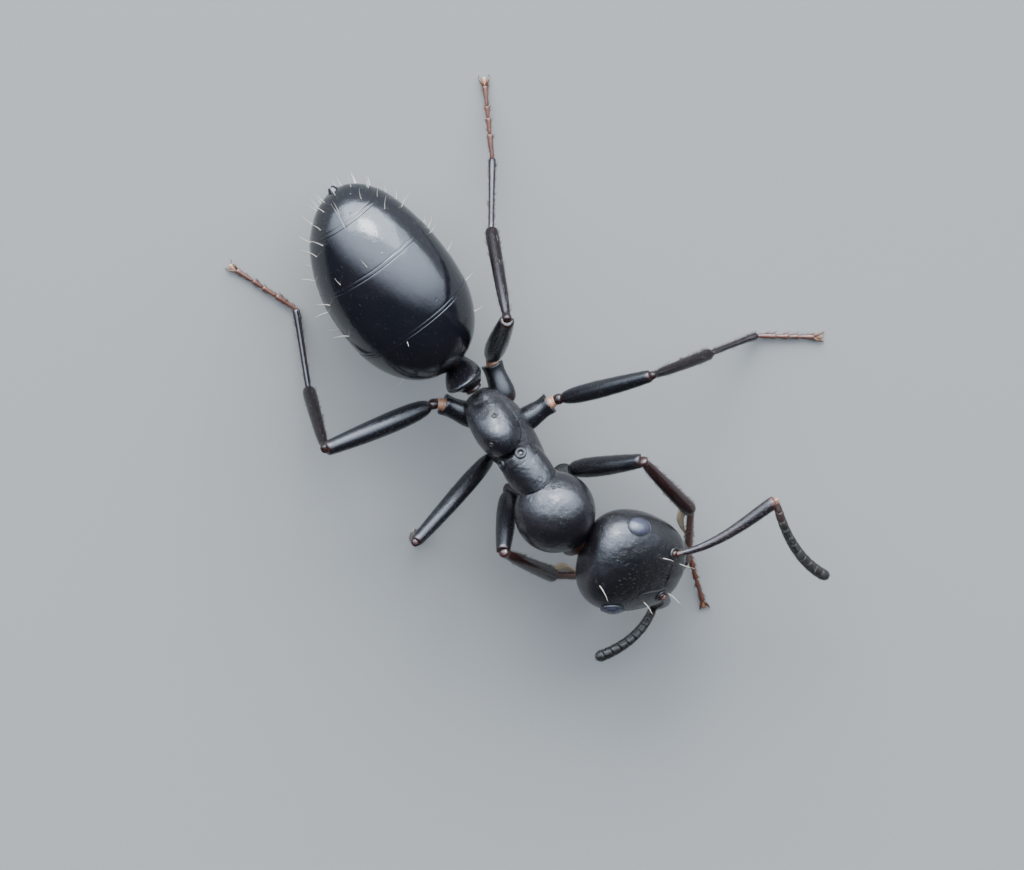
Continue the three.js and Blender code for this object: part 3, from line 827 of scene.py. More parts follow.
def make_head():
    capsule = make_capsule()
    pieces = []
    # the clypeus, a shield over the mouth with a low keel
    clypeus = trimmed_plate(
        capsule, "clypeus",
        [((0.5, 0, 0), (-1, 0, 0)), ((0, 0, 0.02), (0, 0, -1)), ((0.52, 0.26, 0), (-0.35, 1, 0)),
            ((0.52, -0.26, 0), (-0.35, -1, 0))],
        0.0015, 0.04,
    )
    open_up(clypeus)
    pick(clypeus, "VERT", lambda at, up: abs(at.y) < 0.03 and at.z > 0.1)
    bpy.ops.transform.translate(value=(0, 0, 0.02), use_proportional_edit=True, proportional_size=0.12)
    put_down()
    pieces.append((clypeus, HEAD_BLACK, "shell"))

    # ridges beside the feelers, a line down the brow and the rims of the two feeler pits
    trims = []
    for sign in (1, -1):
        way = [(0.6, 0.2), (0.5, 0.25), (0.38, 0.3), (0.24, 0.32), (0.08, 0.36), (-0.1, 0.42)]
        spots = [head_surface(capsule, x, sign * y)[0] - Vector((0, 0, 0.012)) for x, y in way]
        trims.append(strand("brow_ridge", spots, [0.006, 0.022, 0.028, 0.026, 0.018, 0.005], sides=12))
        at, normal = head_surface(capsule, SOCKET["along"], sign * SOCKET["out"])
        trims.append(ring_band("feeler_rim", 0.095, 0.026, standing(at + normal * 0.002, normal), tall=0.8))
    brow = [head_surface(capsule, x, 0)[0] - Vector((0, 0, 0.007)) for x in (0.48, 0.36, 0.2, 0.0, -0.2)]
    trims.append(strand("brow_line", brow, [0.012, 0.01, 0.008, 0.006, 0.002], sides=8))
    trim = joined(trims, "head_trim")
    pieces.append((trim, EYE_RIM, "shell"))

    # the ball at the foot of each feeler
    balls = []
    for sign in (1, -1):
        at, normal = head_surface(capsule, SOCKET["along"], sign * SOCKET["out"])
        cup = drawn_out("feeler_ball",
            [(-0.07, 0.05, 0.05, 0, 0), (-0.03, 0.075, 0.075, 0, 0), (0.02, 0.07, 0.07, 0, 0),
                (0.05, 0.035, 0.035, 0, 0)], 14)
        rounded(cup, 1)
        balls.append(turned(cup,
            Matrix.Translation(at) @ normal.to_track_quat("X", "Z").to_matrix().to_4x4()))
    pieces.append((joined(balls, "feeler_balls"), COLLAR_BROWN, "jaw"))

    # labrum, lips and the two pairs of palps under the mouth
    lip = drawn_out("mouthparts", [
        (0.62, 0.1, 0.06, 0, -0.42), (0.72, 0.19, 0.1, 0, -0.4), (0.86, 0.24, 0.13, 0, -0.33),
        (0.98, 0.22, 0.12, 0, -0.27),
        (1.06, 0.16, 0.07, 0, -0.24), (1.1, 0.08, 0.03, 0, -0.24),
    ], 18)
    open_up(lip)
    pick(lip, "VERT", lambda at, up: abs(at.y) < 0.04 and at.z < -0.3)
    bpy.ops.transform.translate(value=(0, 0, 0.03))
    rounded(lip, 2)
    pieces.append((lip, COLLAR_BROWN, "jaw"))
    palps = []
    for sign in (1, -1):
        for out, lengths in ((0.15, (0.09, 0.12, 0.13, 0.12, 0.11, 0.1)), (0.07, (0.09, 0.1, 0.1, 0.1))):
            at = Vector((0.8, sign * out, -0.43))
            turn, fall = sign * 18, -70
            for index, length in enumerate(lengths):
                bead = drawn_out("palp",
                    [(0, 0.014, 0.014, 0, 0), (length * 0.3, 0.022, 0.022, 0, 0),
                        (length * 0.8, 0.024, 0.024, 0, 0), (length, 0.014, 0.014, 0, 0)], 8)
                rounded(bead, 1)
                palps.append(turned(bead, aimed(at, turn, fall)))
                at = at + heading(turn, fall) * length * 0.96
                turn, fall = turn + sign * (60 if index else 20), fall + (22 if out > 0.1 else 14)
    pieces.append((joined(palps, "palps"), FOOT_AMBER, "jaw"))

    eyes = [make_eye(sign, capsule) for sign in (1, -1)]
    jaws = [make_jaw(sign) for sign in (1, -1)]
    return capsule, pieces, eyes, jaws


def make_eye(sign, capsule):
    """An oval lens of about seven hundred domed facets, with a smooth rim."""
    put_down()
    bpy.ops.mesh.primitive_ico_sphere_add(subdivisions=4, radius=1)
    lens = bpy.context.object
    lens.name = "eye"
    bpy.ops.object.mode_set(mode="EDIT")
    bpy.ops.mesh.bevel(offset_type="PERCENT", offset_pct=33.3, affect="VERTICES", segments=1)
    pick(lens, "FACE", lambda at, up: at.z < -0.1)
    bpy.ops.mesh.delete(type="FACE")
    pick(lens, "FACE", lambda at, up: True)
    bpy.ops.mesh.inset(thickness=0.008, use_individual=True)
    bpy.ops.mesh.poke(offset=0.012, center_mode="MEDIAN_WEIGHTED")
    put_down()
    look = Vector((0, sign * math.sin(math.radians(61)), math.cos(math.radians(61))))
    _, seat, normal, _ = capsule.ray_cast(Vector((EYE["along"] - 0.03, 0, -0.12)) + look * 3, -look)
    stand = Matrix.Translation(seat - normal * 0.03) @ standing(Vector(), normal)
    shape = Matrix.Diagonal((EYE["length"] / 2 - 0.01, EYE["width"] / 2 - 0.01, EYE["height"] / 2 - 0.01,
        1))
    turned(lens, stand @ shape)
    rim = ring_band("eye_rim", 1.0, 0.035, sides=48, tall=1.4)
    turned(rim, stand @ Matrix.Translation((0, 0, 0.034)) @ Matrix.Diagonal((EYE["length"] / 2 - 0.004,
        EYE["width"] / 2 - 0.004, 0.14, 1)))
    return lens, rim


def make_jaw(sign):
    """A short triangular jaw, crossing the mouth, with five teeth along its cutting edge."""
    side = "left" if sign > 0 else "right"
    drop = -0.19 if sign > 0 else -0.24
    blade = drawn_out("mandible_" + side, [
        (0.76, 0.11, 0.12, 0.3, drop + 0.02), (0.84, 0.16, 0.16, 0.31, drop + 0.0),
        (0.95, 0.185, 0.16, 0.3, drop - 0.01),
        (1.06, 0.19, 0.14, 0.27, drop - 0.02), (1.17, 0.17, 0.11, 0.21, drop - 0.03),
        (1.27, 0.13, 0.08, 0.14, drop - 0.04),
        (1.34, 0.08, 0.05, 0.08, drop - 0.05), (1.38, 0.025, 0.02, 0.02, drop - 0.05),
    ], 18)
    rounded(blade, 2)
    parts = [blade]
    for index in range(5):
        share = index / 4
        at = Vector((1.32 - 0.3 * share, 0.03 + 0.06 * share, drop - 0.04))
        put_down()
        bpy.ops.mesh.primitive_cone_add(vertices=8, radius1=0.042 - 0.012 * share, radius2=0.006,
            depth=0.13 - 0.03 * share)
        tooth = bpy.context.object
        bpy.ops.object.mode_set(mode="EDIT")
        bpy.ops.mesh.bevel(offset=0.006, segments=2, affect="EDGES")
        put_down()
        parts.append(turned(tooth,
            Matrix.Translation(at) @ Vector((0.45 - 0.4 * share, -1, 0.0)).to_track_quat("Z",
                "Y").to_matrix().to_4x4()))
    jaw = joined(parts, "mandible_" + side)
    if sign < 0:
        turned(jaw, Matrix.Diagonal((1, -1, 1, 1)))
    mark_reach(jaw, 0.76, 1.4)
    return jaw


# ---------- trunk ----------
TRUNK = Matrix.Rotation(math.radians(90), 4, "Z")


def levels(x, width, top, bottom, aside=0.0):
    return (x, width / 2, (top - bottom) / 2, aside, (top + bottom) / 2)


def pronotum_ring(share, inset=0.012):
    girth = max(dome(share, 0.5, 2.0), 0.34 if share < 0.5 else 0.45)
    tilt = 0.1 * (share - 0.5)
    return levels(-2.47 + 1.46 * share, 1.53 * girth - 2 * inset, 2.2 + 0.7 * girth - tilt - inset,
        2.2 - 0.7 * girth - tilt + inset)


def mesonotum_ring(share, inset=0.02):
    girth = 0.55 + 0.45 * dome(share, 0.45, 2.4)
    top = 2.62 - 0.22 * share - 0.12 * (1 - dome(share, 0.4, 3))
    return levels(-1.3 + 0.94 * share, 0.92 * girth - 2 * inset, top - inset,
        1.42 + 0.1 * (1 - girth) + inset)


def propodeum_ring(share, inset=0.015):
    girth = 0.36 + 0.64 * dome(share, 0.38, 2.2)
    top = 2.49 - 0.2 * (1 - dome(share, 0.3, 2.0)) - 1.1 * max(0.0, share - 0.34) ** 1.5
    return levels(-0.36 + 1.14 * share, 0.88 * girth - 2 * inset, top - inset,
        1.4 + 0.16 * (1 - girth) + inset, 0.04)


def petiole_ring(share, inset=0.012):
    crest = math.exp(-((share - 0.5) / 0.25) ** 2)
    shoulder = math.exp(-((share - 0.5) / 0.36) ** 2)
    return levels(0.9 + 0.62 * share, 0.34 + 0.4 * shoulder - 2 * inset, 1.84 + 0.58 * crest - inset,
        1.5 + inset)


def make_trunk():
    made = []
    shares = (0.0, 0.03, 0.07, 0.13, 0.2, 0.3, 0.4, 0.5, 0.6, 0.7, 0.8, 0.87, 0.93, 0.97, 1.0)
    shield = drawn_out("pronotum_shield", [pronotum_ring(s) for s in shares], 32, 2.1)
    rounded(shield, 2)
    made.append((shield, TRUNK_BLACK, "shell", "pronotum"))
    rim = [(-1.06, 0.62), (-1.3, 0.72), (-1.6, 0.77), (-1.9, 0.74), (-2.2, 0.6)]
    hems = []
    for sign in (1, -1):
        spots = []
        for x, y in rim:
            hit, at, normal, _ = shield.ray_cast(Vector((x, sign * 2, 1.86)), Vector((0, -sign, 0)))
            spots.append(at if hit else Vector((x, sign * y, 1.86)))
        hems.append(strand("pronotum_hem", spots, [0.012, 0.024, 0.028, 0.024, 0.01], sides=8))
    made.append((joined(hems, "pronotum_hem"), TRUNK_BLACK, "shell", None))

    collar = drawn_out("collar", [
        (-2.66, 0.2, 0.2, 0, 1.96), (-2.63, 0.28, 0.28, 0, 1.97), (-2.57, 0.33, 0.33, 0, 1.99),
        (-2.48, 0.35, 0.36, 0, 2.02), (-2.3, 0.34, 0.36, 0, 2.05),
    ], 24)
    rounded(collar, 2)
    chest = drawn_out("chest_plates", [
        (-2.5, 0.14, 0.12, 0, 1.62), (-2.4, 0.26, 0.2, 0, 1.58), (-2.15, 0.38, 0.3, 0, 1.55),
        (-1.8, 0.44, 0.34, 0, 1.54),
        (-1.4, 0.42, 0.3, 0, 1.55), (-1.1, 0.3, 0.2, 0, 1.6),
    ], 22)
    open_up(chest)
    pick(chest, "VERT", lambda at, up: abs(at.y) < 0.04 and at.z < 1.5)
    bpy.ops.transform.translate(value=(0, 0, 0.05))
    rounded(chest, 2)
    made.append((joined([collar, chest], "propleura"), COLLAR_BROWN, "jaw", None))

    flank = drawn_out("mesopleura",
        [mesonotum_ring(s, 0.035) for s in (0, 0.08, 0.18, 0.3, 0.42, 0.54, 0.66, 0.78, 0.88, 0.95, 1.0)],
        28, 2.1)
    rounded(flank, 2)
    made.append((flank, TRUNK_BLACK, "shell", "mesonotum"))
    # one long low flank under both, from the middle hips to the hind ones
    sides = drawn_out("metapleura", [
        (-1.32, 0.16, 0.2, 0, 1.72), (-1.22, 0.26, 0.3, 0, 1.71), (-1.05, 0.34, 0.38, 0, 1.7),
        (-0.8, 0.4, 0.44, 0, 1.7), (-0.5, 0.455, 0.47, 0, 1.7), (-0.2, 0.485, 0.49, 0, 1.7),
        (0.1, 0.49, 0.48, 0, 1.69), (0.34, 0.45, 0.43, 0, 1.68), (0.54, 0.37, 0.35, 0, 1.67),
        (0.7, 0.26, 0.24, 0, 1.66), (0.8, 0.15, 0.14, 0, 1.66),
    ], 28, 2.1)
    open_up(sides)
    pick(sides, "VERT", lambda at, up: -0.5 < at.x < -0.3 and at.z > 1.6)
    bpy.ops.transform.resize(value=(1, 0.96, 1))
    rounded(sides, 2)
    made.append((sides, FLANK_BLACK, "shell", None))
    roll = Matrix.Translation((0, 0.0, 1.9)) @ Matrix.Rotation(math.radians(-8), 4,
        "X") @ Matrix.Translation((0, 0, -1.9))
    shield_top = trimmed_plate(
        flank, "mesonotum_shield",
        [((-0.62, 0, 0), (1, 0, 0)), ((0, 0, 2.18), (0, 0, -1))],
        0.022, 0.04,
    )
    made.append((turned(shield_top, roll.inverted()), TRUNK_BLACK, "shell", None))
    band = trimmed_plate(
        flank, "metanotum",
        [((-0.58, 0, 0), (-1, 0, 0)), ((0, 0, 2.06), (0, 0, -1))],
        0.014, 0.04,
    )
    made.append((band, TRUNK_BLACK, "shell", None))

    rear = drawn_out("propodeum_shell",
        [propodeum_ring(s) for s in (0, 0.05, 0.12, 0.2, 0.3, 0.4, 0.5, 0.6, 0.7, 0.8, 0.88, 0.95, 1.0)],
        30, 2.0)
    rounded(rear, 2)
    made.append((rear, TRUNK_BLACK, "shell", "propodeum"))

    waist = drawn_out("petiole_scale",
        [petiole_ring(s) for s in (0, 0.1, 0.2, 0.3, 0.38, 0.45, 0.5, 0.55, 0.62, 0.7, 0.8, 0.9, 1.0)], 26,
        2.3)
    rounded(waist, 2)
    made.append((waist, TRUNK_BLACK, "shell", "petiole"))

    # breathing holes and the rimmed sockets of fallen hairs
    rims, holes = [], []
    for source, x, y, radius in (
        (flank, -0.44, -0.13, 0.08), (flank, -0.46, 0.28, 0.075), (flank, -0.99, -0.17, 0.046),
        (rear, 0.39, -0.12, 0.042),
        (shield, -1.27, -0.41, 0.036), (shield, -1.24, -0.31, 0.03), (rear, 0.02, 0.2, 0.03),
    ):
        hit, at, normal, _ = source.ray_cast(Vector((x, y, 4)), Vector((0, 0, -1)))
        if not hit:
            continue
        lift = (0.014 if x > -0.6 else 0.022) if source is flank else 0.0
        rims.append(ring_band("spiracle_rim", radius, radius * 0.42, standing(at + normal * lift, normal),
            sides=24))
        put_down()
        bpy.ops.mesh.primitive_uv_sphere_add(segments=12, ring_count=8, radius=radius * 0.52)
        plug = bpy.context.object
        bpy.ops.object.mode_set(mode="EDIT")
        bpy.ops.transform.resize(value=(1, 1, 0.4))
        put_down()
        holes.append(turned(plug, standing(at + normal * lift, normal)))
    made.append((joined(rims, "spiracle_rims"), PORE_BLACK, "shell", None))
    made.append((joined(holes, "spiracle_plugs"), HEAD_BLACK, "shell", None))
    return made, shield, flank, rear, waist


# ---------- gaster ----------
ABDOMEN = TRUNK @ aimed((1.46, 0.1, 1.78), 2, 0)


def gaster_ring(share, inset):
    girth = dome(min(max(share, 0.0), 1.0), 0.44, 2.2 if share < 0.44 else 2.05)
    lift = -GASTER["sag"] * max(share, 0.0) ** 1.6
    aside = -0.16 * max(0.0, (share - 0.5) / 0.5) ** 2
    wide = max(GASTER["width"] / 2 * girth - inset, 0.015)
    high = max(GASTER["height"] / 2 * girth - inset, 0.015)
    drawn_in = 0.075 * max(0.0, (share - 0.6) / 0.4) ** 2
    return (GASTER["length"] * share - drawn_in, wide, high, aside, lift)


def make_gaster():
    """Each back plate laps over the next, with a fine line before its hem; belly plates sit inside."""
    tops, bellies = [], []
    length = GASTER["length"]
    for index in range(4):
        start, end = SUTURES[index], SUTURES[index + 1]
        inset = 0.008 + 0.007 * index
        if index == 0:
            shares = [0.003, 0.012, 0.03, 0.06, 0.1, 0.15, 0.2, 0.25]
        else:
            shares = [start + (end - start) * s for s in (0.0, 0.03, 0.2, 0.36, 0.52, 0.68, 0.8)]
        if index == 3:
            shares = [0.88, 0.89, 0.905, 0.925, 0.945, 0.962, 0.976, 0.987, 0.995]
        rings = [gaster_ring(s, inset) for s in shares]
        if index > 0:
            rings = [gaster_ring(start - 0.02, inset + 0.03),
                gaster_ring(start - 0.004, inset + 0.006)] + rings
        if index < 3:
            hem = 0.075 / length
            for at, sunk in ((1.9, 0.0), (1.2, 0.0), (1.06, 0.001), (1.0, 0.007), (0.94, 0.001), (0.8, 0.0),
                    (0.25, 0.001), (0.06, 0.004), (0.0, 0.012)):
                rings.append(gaster_ring(end - hem * at, inset + sunk))
        top = drawn_out("gaster_tergite_%d" % (index + 1), rings, 36)
        rounded(top, 1)
        mark_reach(top, length * start, length * end)
        belly_rings = [gaster_ring(s, inset + 0.022) for s in shares]
        if index > 0:
            belly_rings = [gaster_ring(start - 0.02, inset + 0.05)] + belly_rings
        if index < 3:
            belly_rings += [gaster_ring(end - 0.012, inset + 0.024), gaster_ring(end, inset + 0.034)]
        belly = drawn_out("gaster_sternite_%d" % (index + 1), belly_rings, 32)
        rounded(belly, 1)
        mark_reach(belly, length * start, length * end)
        # the back plate ends in a hem low on the flank
        open_up(top)
        bpy.ops.mesh.select_all(action="SELECT")
        bpy.ops.mesh.bisect(plane_co=(length * 0.44, 0, -0.52 - 0.06 * index), plane_no=(0.02, 0, -1),
            use_fill=True, clear_outer=True)
        put_down()
        tops.append(top)
        bellies.append(belly)
    # the ring of the acid pore at the tip
    tip = gaster_ring(0.995, 0)
    pore = drawn_out("acid_pore", [
        (length * 0.95, 0.15, 0.15, tip[3], tip[4] - 0.05),
        (length * 0.975, 0.11, 0.11, tip[3], tip[4] - 0.07),
        (length * 0.99, 0.075, 0.075, tip[3], tip[4] - 0.08),
        (length * 0.996, 0.06, 0.06, tip[3], tip[4] - 0.08),
    ], 18)
    open_up(pore)
    pick(pore, "FACE", lambda at, up: up.x > 0.9 and at.x > length * 0.99)
    bpy.ops.mesh.inset(thickness=0.02)
    bpy.ops.mesh.extrude_region_move(TRANSFORM_OT_translate={"value": (-0.06, 0, 0)})
    rounded(pore, 2)
    return tops, bellies, pore


# ---------- feelers ----------
def make_scape():
    """The long first joint of a feeler, of unit length: slim at the ball, thick at the elbow."""
    rings = [
        (0.0, 0.05, 0.05, 0, 0), (0.015, 0.062, 0.062, 0, 0), (0.04, 0.052, 0.052, 0, 0.005),
        (0.08, 0.056, 0.056, 0, 0.03), (0.16, 0.068, 0.068, 0, 0.075),
        (0.3, 0.08, 0.08, 0, 0.115), (0.48, 0.094, 0.094, 0, 0.12), (0.66, 0.11, 0.11, 0, 0.09),
        (0.82, 0.122, 0.12, 0, 0.045),
        (0.93, 0.128, 0.124, 0, 0.016), (0.97, 0.124, 0.12, 0, 0.006), (0.99, 0.105, 0.1, 0, 0),
        (1.0, 0.07, 0.07, 0, 0),
    ]
    piece = drawn_out("scape", rings, 18)
    rounded(piece, 1)
    mark_reach(piece, 0, 1)
    return piece


def curve_at(start, bend, end, share):
    return start * (1 - share) ** 2 + bend * 2 * share * (1 - share) + end * share ** 2


def make_funiculus(side, elbow):
    """The whip of a feeler: a waisted first bead, then ten beads that swell to the tip."""
    bend, end = Vector(FEELERS[side]["bend"]), Vector(FEELERS[side]["tip"])
    stops = [curve_at(Vector((0, 0, 0)), bend, end, n / 400) for n in range(401)]
    run = [0.0]
    for a, b in zip(stops, stops[1:]):
        run.append(run[-1] + (b - a).length)
    lengths = [0.11, 0.09, 0.088, 0.086, 0.085, 0.084, 0.084, 0.084, 0.085, 0.086, 0.118]
    beads, at = [], 0.0
    total = sum(lengths)
    place = lambda share: elbow + stops[int(np.searchsorted(run, share / total * run[-1]).clip(0, 400))]
    for index, length in enumerate(lengths):
        start, finish = place(at), place(at + length)
        span = (finish - start).length
        girth = 0.077 + 0.0032 * index
        if index == 0:
            form = [(0.0, 0.04, 0.04), (0.06, 0.055, 0.055), (0.2, 0.052, 0.052), (0.5, 0.062, 0.062),
                (0.85, 0.076, 0.076), (0.96, 0.07, 0.07), (1.0, 0.05, 0.05)]
        elif index == 10:
            form = [(-0.06, 0.8, 0.8), (0.02, 0.93, 0.93), (0.15, 1, 1), (0.5, 1, 1), (0.75, 0.84, 0.84),
                (0.9, 0.56, 0.56), (0.97, 0.3, 0.3), (1.0, 0.1, 0.1)]
            form = [(x, w * girth, h * girth) for x, w, h in form]
        else:
            form = [(-0.06, 0.8, 0.8), (0.02, 0.93, 0.93), (0.12, 0.99, 0.99), (0.5, 1.01, 1.01),
                (0.86, 1.03, 1.03), (0.97, 0.99, 0.99), (1.04, 0.86, 0.86)]
            form = [(x, w * girth, h * girth) for x, w, h in form]
        bead = drawn_out("bead", [(x * span, w, h, 0, 0) for x, w, h in form], 16)
        rounded(bead, 1)
        mark_reach(bead, -index * span, (22 - index) * span)
        beads.append(turned(bead, towards(start, finish)))
        at += length
    return joined(beads, "funiculus_" + side)


# ---------- legs ----------
def make_leg_patterns():
    """One of each leg joint, of unit length along x, to be copied to all six legs."""
    patterns = {}
    coxa = drawn_out("coxa", [
        (-0.16, 0.1, 0.1, 0, 0), (-0.1, 0.16, 0.16, 0, 0), (0.0, 0.2, 0.2, 0, 0), (0.18, 0.21, 0.21, 0, 0),
        (0.36, 0.196, 0.196, 0, 0.0),
        (0.54, 0.174, 0.174, 0, 0), (0.68, 0.166, 0.166, 0, 0), (0.78, 0.176, 0.174, 0, 0),
        (0.85, 0.182, 0.18, 0, 0), (0.89, 0.182, 0.18, 0, 0), (0.905, 0.172, 0.17, 0, 0),
    ], 24)
    open_up(coxa)
    pick(coxa, "FACE", lambda at, up: up.x > 0.9 and at.x > 0.89)
    bpy.ops.mesh.inset(thickness=0.024)
    bpy.ops.mesh.extrude_region_move(TRANSFORM_OT_translate={"value": (-0.14, 0, 0)})
    bpy.ops.transform.resize(value=(1, 0.8, 0.8))
    # the cup is notched above and below, where the joint swings
    pick(coxa, "VERT", lambda at, up: at.x > 0.83 and abs(at.z) > 0.13)
    bpy.ops.transform.translate(value=(-0.045, 0, 0))
    pick(coxa, "VERT", lambda at, up: at.x > 0.86 and 0.07 < abs(at.z) < 0.13)
    bpy.ops.transform.translate(value=(-0.02, 0, 0))
    rounded(coxa, 1)
    patterns["coxa"] = coxa

    trochanter = drawn_out("trochanter", [
        (-0.16, 0.06, 0.06, 0, 0), (-0.1, 0.085, 0.085, 0, 0), (-0.02, 0.07, 0.07, 0, 0),
        (0.1, 0.082, 0.086, 0, 0), (0.45, 0.108, 0.112, 0, -0.008), (0.75, 0.1, 0.104, 0, -0.004),
        (0.95, 0.082, 0.084, 0, 0), (1.0, 0.06, 0.06, 0, 0),
    ], 18)
    rounded(trochanter, 1)
    patterns["trochanter"] = trochanter

    femur = drawn_out("femur", [
        (0.0, 0.064, 0.064, 0, 0), (0.015, 0.094, 0.098, 0, 0), (0.05, 0.12, 0.127, 0, 0),
        (0.12, 0.142, 0.152, 0, 0.004),
        (0.22, 0.155, 0.168, 0, 0.01), (0.34, 0.16, 0.174, 0, 0.016), (0.48, 0.157, 0.171, 0, 0.02),
        (0.62, 0.149, 0.161, 0, 0.02), (0.75, 0.138, 0.148, 0, 0.016), (0.86, 0.126, 0.133, 0, 0.01),
        (0.93, 0.117, 0.122, 0, 0.004), (0.965, 0.114, 0.12, 0, 0), (0.99, 0.1, 0.106, 0, 0),
        (1.0, 0.074, 0.079, 0, 0),
    ], 18)
    open_up(femur)
    # a slot under the knee takes the shin
    pick(femur, "VERT", lambda at, up: at.x > 0.94 and at.z < -0.02 and abs(at.y) < 0.06)
    bpy.ops.transform.translate(value=(-0.02, 0, 0.05))
    rounded(femur, 1)
    patterns["femur"] = femur

    tibia = drawn_out("tibia", [
        (-0.02, 0.05, 0.05, 0, 0), (0.0, 0.076, 0.08, 0, 0), (0.025, 0.076, 0.082, 0, 0),
        (0.05, 0.062, 0.068, 0, 0), (0.085, 0.066, 0.074, 0, 0.004), (0.18, 0.082, 0.09, 0, 0.012),
        (0.34, 0.092, 0.102, 0, 0.018), (0.52, 0.098, 0.108, 0, 0.018), (0.7, 0.103, 0.113, 0, 0.014),
        (0.85, 0.107, 0.117, 0, 0.006), (0.94, 0.108, 0.116, 0, 0),
        (0.975, 0.104, 0.11, 0, 0), (0.995, 0.085, 0.09, 0, 0), (1.0, 0.06, 0.064, 0, 0),
    ], 18)
    rounded(tibia, 1)
    patterns["tibia"] = tibia

    basitarsus = drawn_out("basitarsus", [
        (-0.01, 0.03, 0.03, 0, 0), (0.01, 0.046, 0.048, 0, 0), (0.05, 0.05, 0.054, 0, 0),
        (0.2, 0.05, 0.055, 0, -0.006), (0.5, 0.052, 0.057, 0, -0.01), (0.8, 0.057, 0.06, 0, -0.005),
        (0.94, 0.064, 0.066, 0, 0), (0.985, 0.062, 0.064, 0, 0), (1.0, 0.044, 0.046, 0, 0),
    ], 14)
    rounded(basitarsus, 1)
    patterns["basitarsus"] = basitarsus

    tarsomere = drawn_out("tarsomere", [
        (-0.02, 0.026, 0.026, 0, 0), (0.04, 0.036, 0.038, 0, 0), (0.2, 0.04, 0.042, 0, 0),
        (0.6, 0.047, 0.048, 0, -0.002), (0.86, 0.058, 0.056, 0, -0.004),
        (0.96, 0.056, 0.054, 0, -0.004), (1.0, 0.038, 0.036, 0, 0),
    ], 14)
    rounded(tarsomere, 1)
    patterns["tarsomere"] = tarsomere
    return patterns


def make_claws(at, turn):
    """Two hooked claws and the soft pad between them, standing at the end of a foot."""
    place = aimed(at, turn, 0)
    hooks = []
    low = at.z
    for sign in (1, -1):
        way = [(0, 0.02), (0.05, 0.045), (0.1, 0.07), (0.15, 0.085), (0.175, 0.09), (0.182, 0.089)]
        drop = [0.0, 0.018, 0.006, -0.3 * low, -0.72 * low, -0.96 * low]
        spots = [Vector((x, sign * y, z)) for (x, y), z in zip(way, drop)]
        hooks.append(strand("claw", spots, [0.026, 0.024, 0.019, 0.013, 0.007, 0.002], sides=12))
    claws = turned(joined(hooks, "claws"), place)
    pad = drawn_out("foot_pad", [
        (0.0, 0.024, 0.022, 0, 0), (0.04, 0.036, 0.026, 0, -0.012), (0.09, 0.046, 0.024, 0, -0.02),
        (0.13, 0.044, 0.018, 0, -0.028), (0.16, 0.022, 0.01, 0, -0.03),
    ], 14)
    rounded(pad, 1)
    return claws, turned(pad, place)


def leg_points(name):
    """The joints of one leg, from the hip to the end of the foot."""
    side, pair = name.split("_")
    sign = 1 if side == "left" else -1
    stance, sizes = STANCE[name], SEGMENTS[pair]
    out, y, z = HIPS[pair]
    points = [Vector((sign * out, y, z))]
    for part in ("coxa", "femur", "tibia"):
        points.append(points[-1] + heading(*stance[part]) * sizes[part])
    ball, ankle = stance["ball"], points[-1]
    fall = math.degrees(math.asin((ball - ankle.z) / sizes["basitarsus"]))
    heel = ankle + heading(stance["foot"][0], fall) * sizes["basitarsus"]
    fall = math.degrees(math.asin((FOOT_LIFT - heel.z) / sizes["tarsus"]))
    toe = heel + heading(stance["foot"][1], fall) * sizes["tarsus"]
    heel.z = 0.1 if ball < 0.3 else ball - 0.08
    toe.z = 0.062
    points += [heel, toe]
    return points


STOUTNESS = {
    "front": {"coxa": 1.06, "trochanter": 1.0, "femur": 1.17, "tibia": 1.3, "basitarsus": 1.36},
    "middle": {"coxa": 1.1, "trochanter": 1.0, "femur": 1.04, "tibia": 1.04, "basitarsus": 1.08},
    "hind": {"coxa": 1.12, "trochanter": 1.0, "femur": 1.24, "tibia": 1.18, "basitarsus": 1.14},
}
# how far the shell sits from its plain line at the hip's end, the ankle, the heel and the toe
ASIDE = {
    "left_hind": ((-0.12, 0.04, 0), (0, 0, 0), (0, 0, 0), (0, 0, 0)),
    "right_middle": ((0.5, -0.1, -0.25), (0.03, 0.05, 0), (0.138, 0.204, 0), (0.11, 0.13, 0)),
    "left_front": ((-0.2, -0.14, 0), (0, 0, 0), (0, 0, 0), (0, 0, 0)),
}


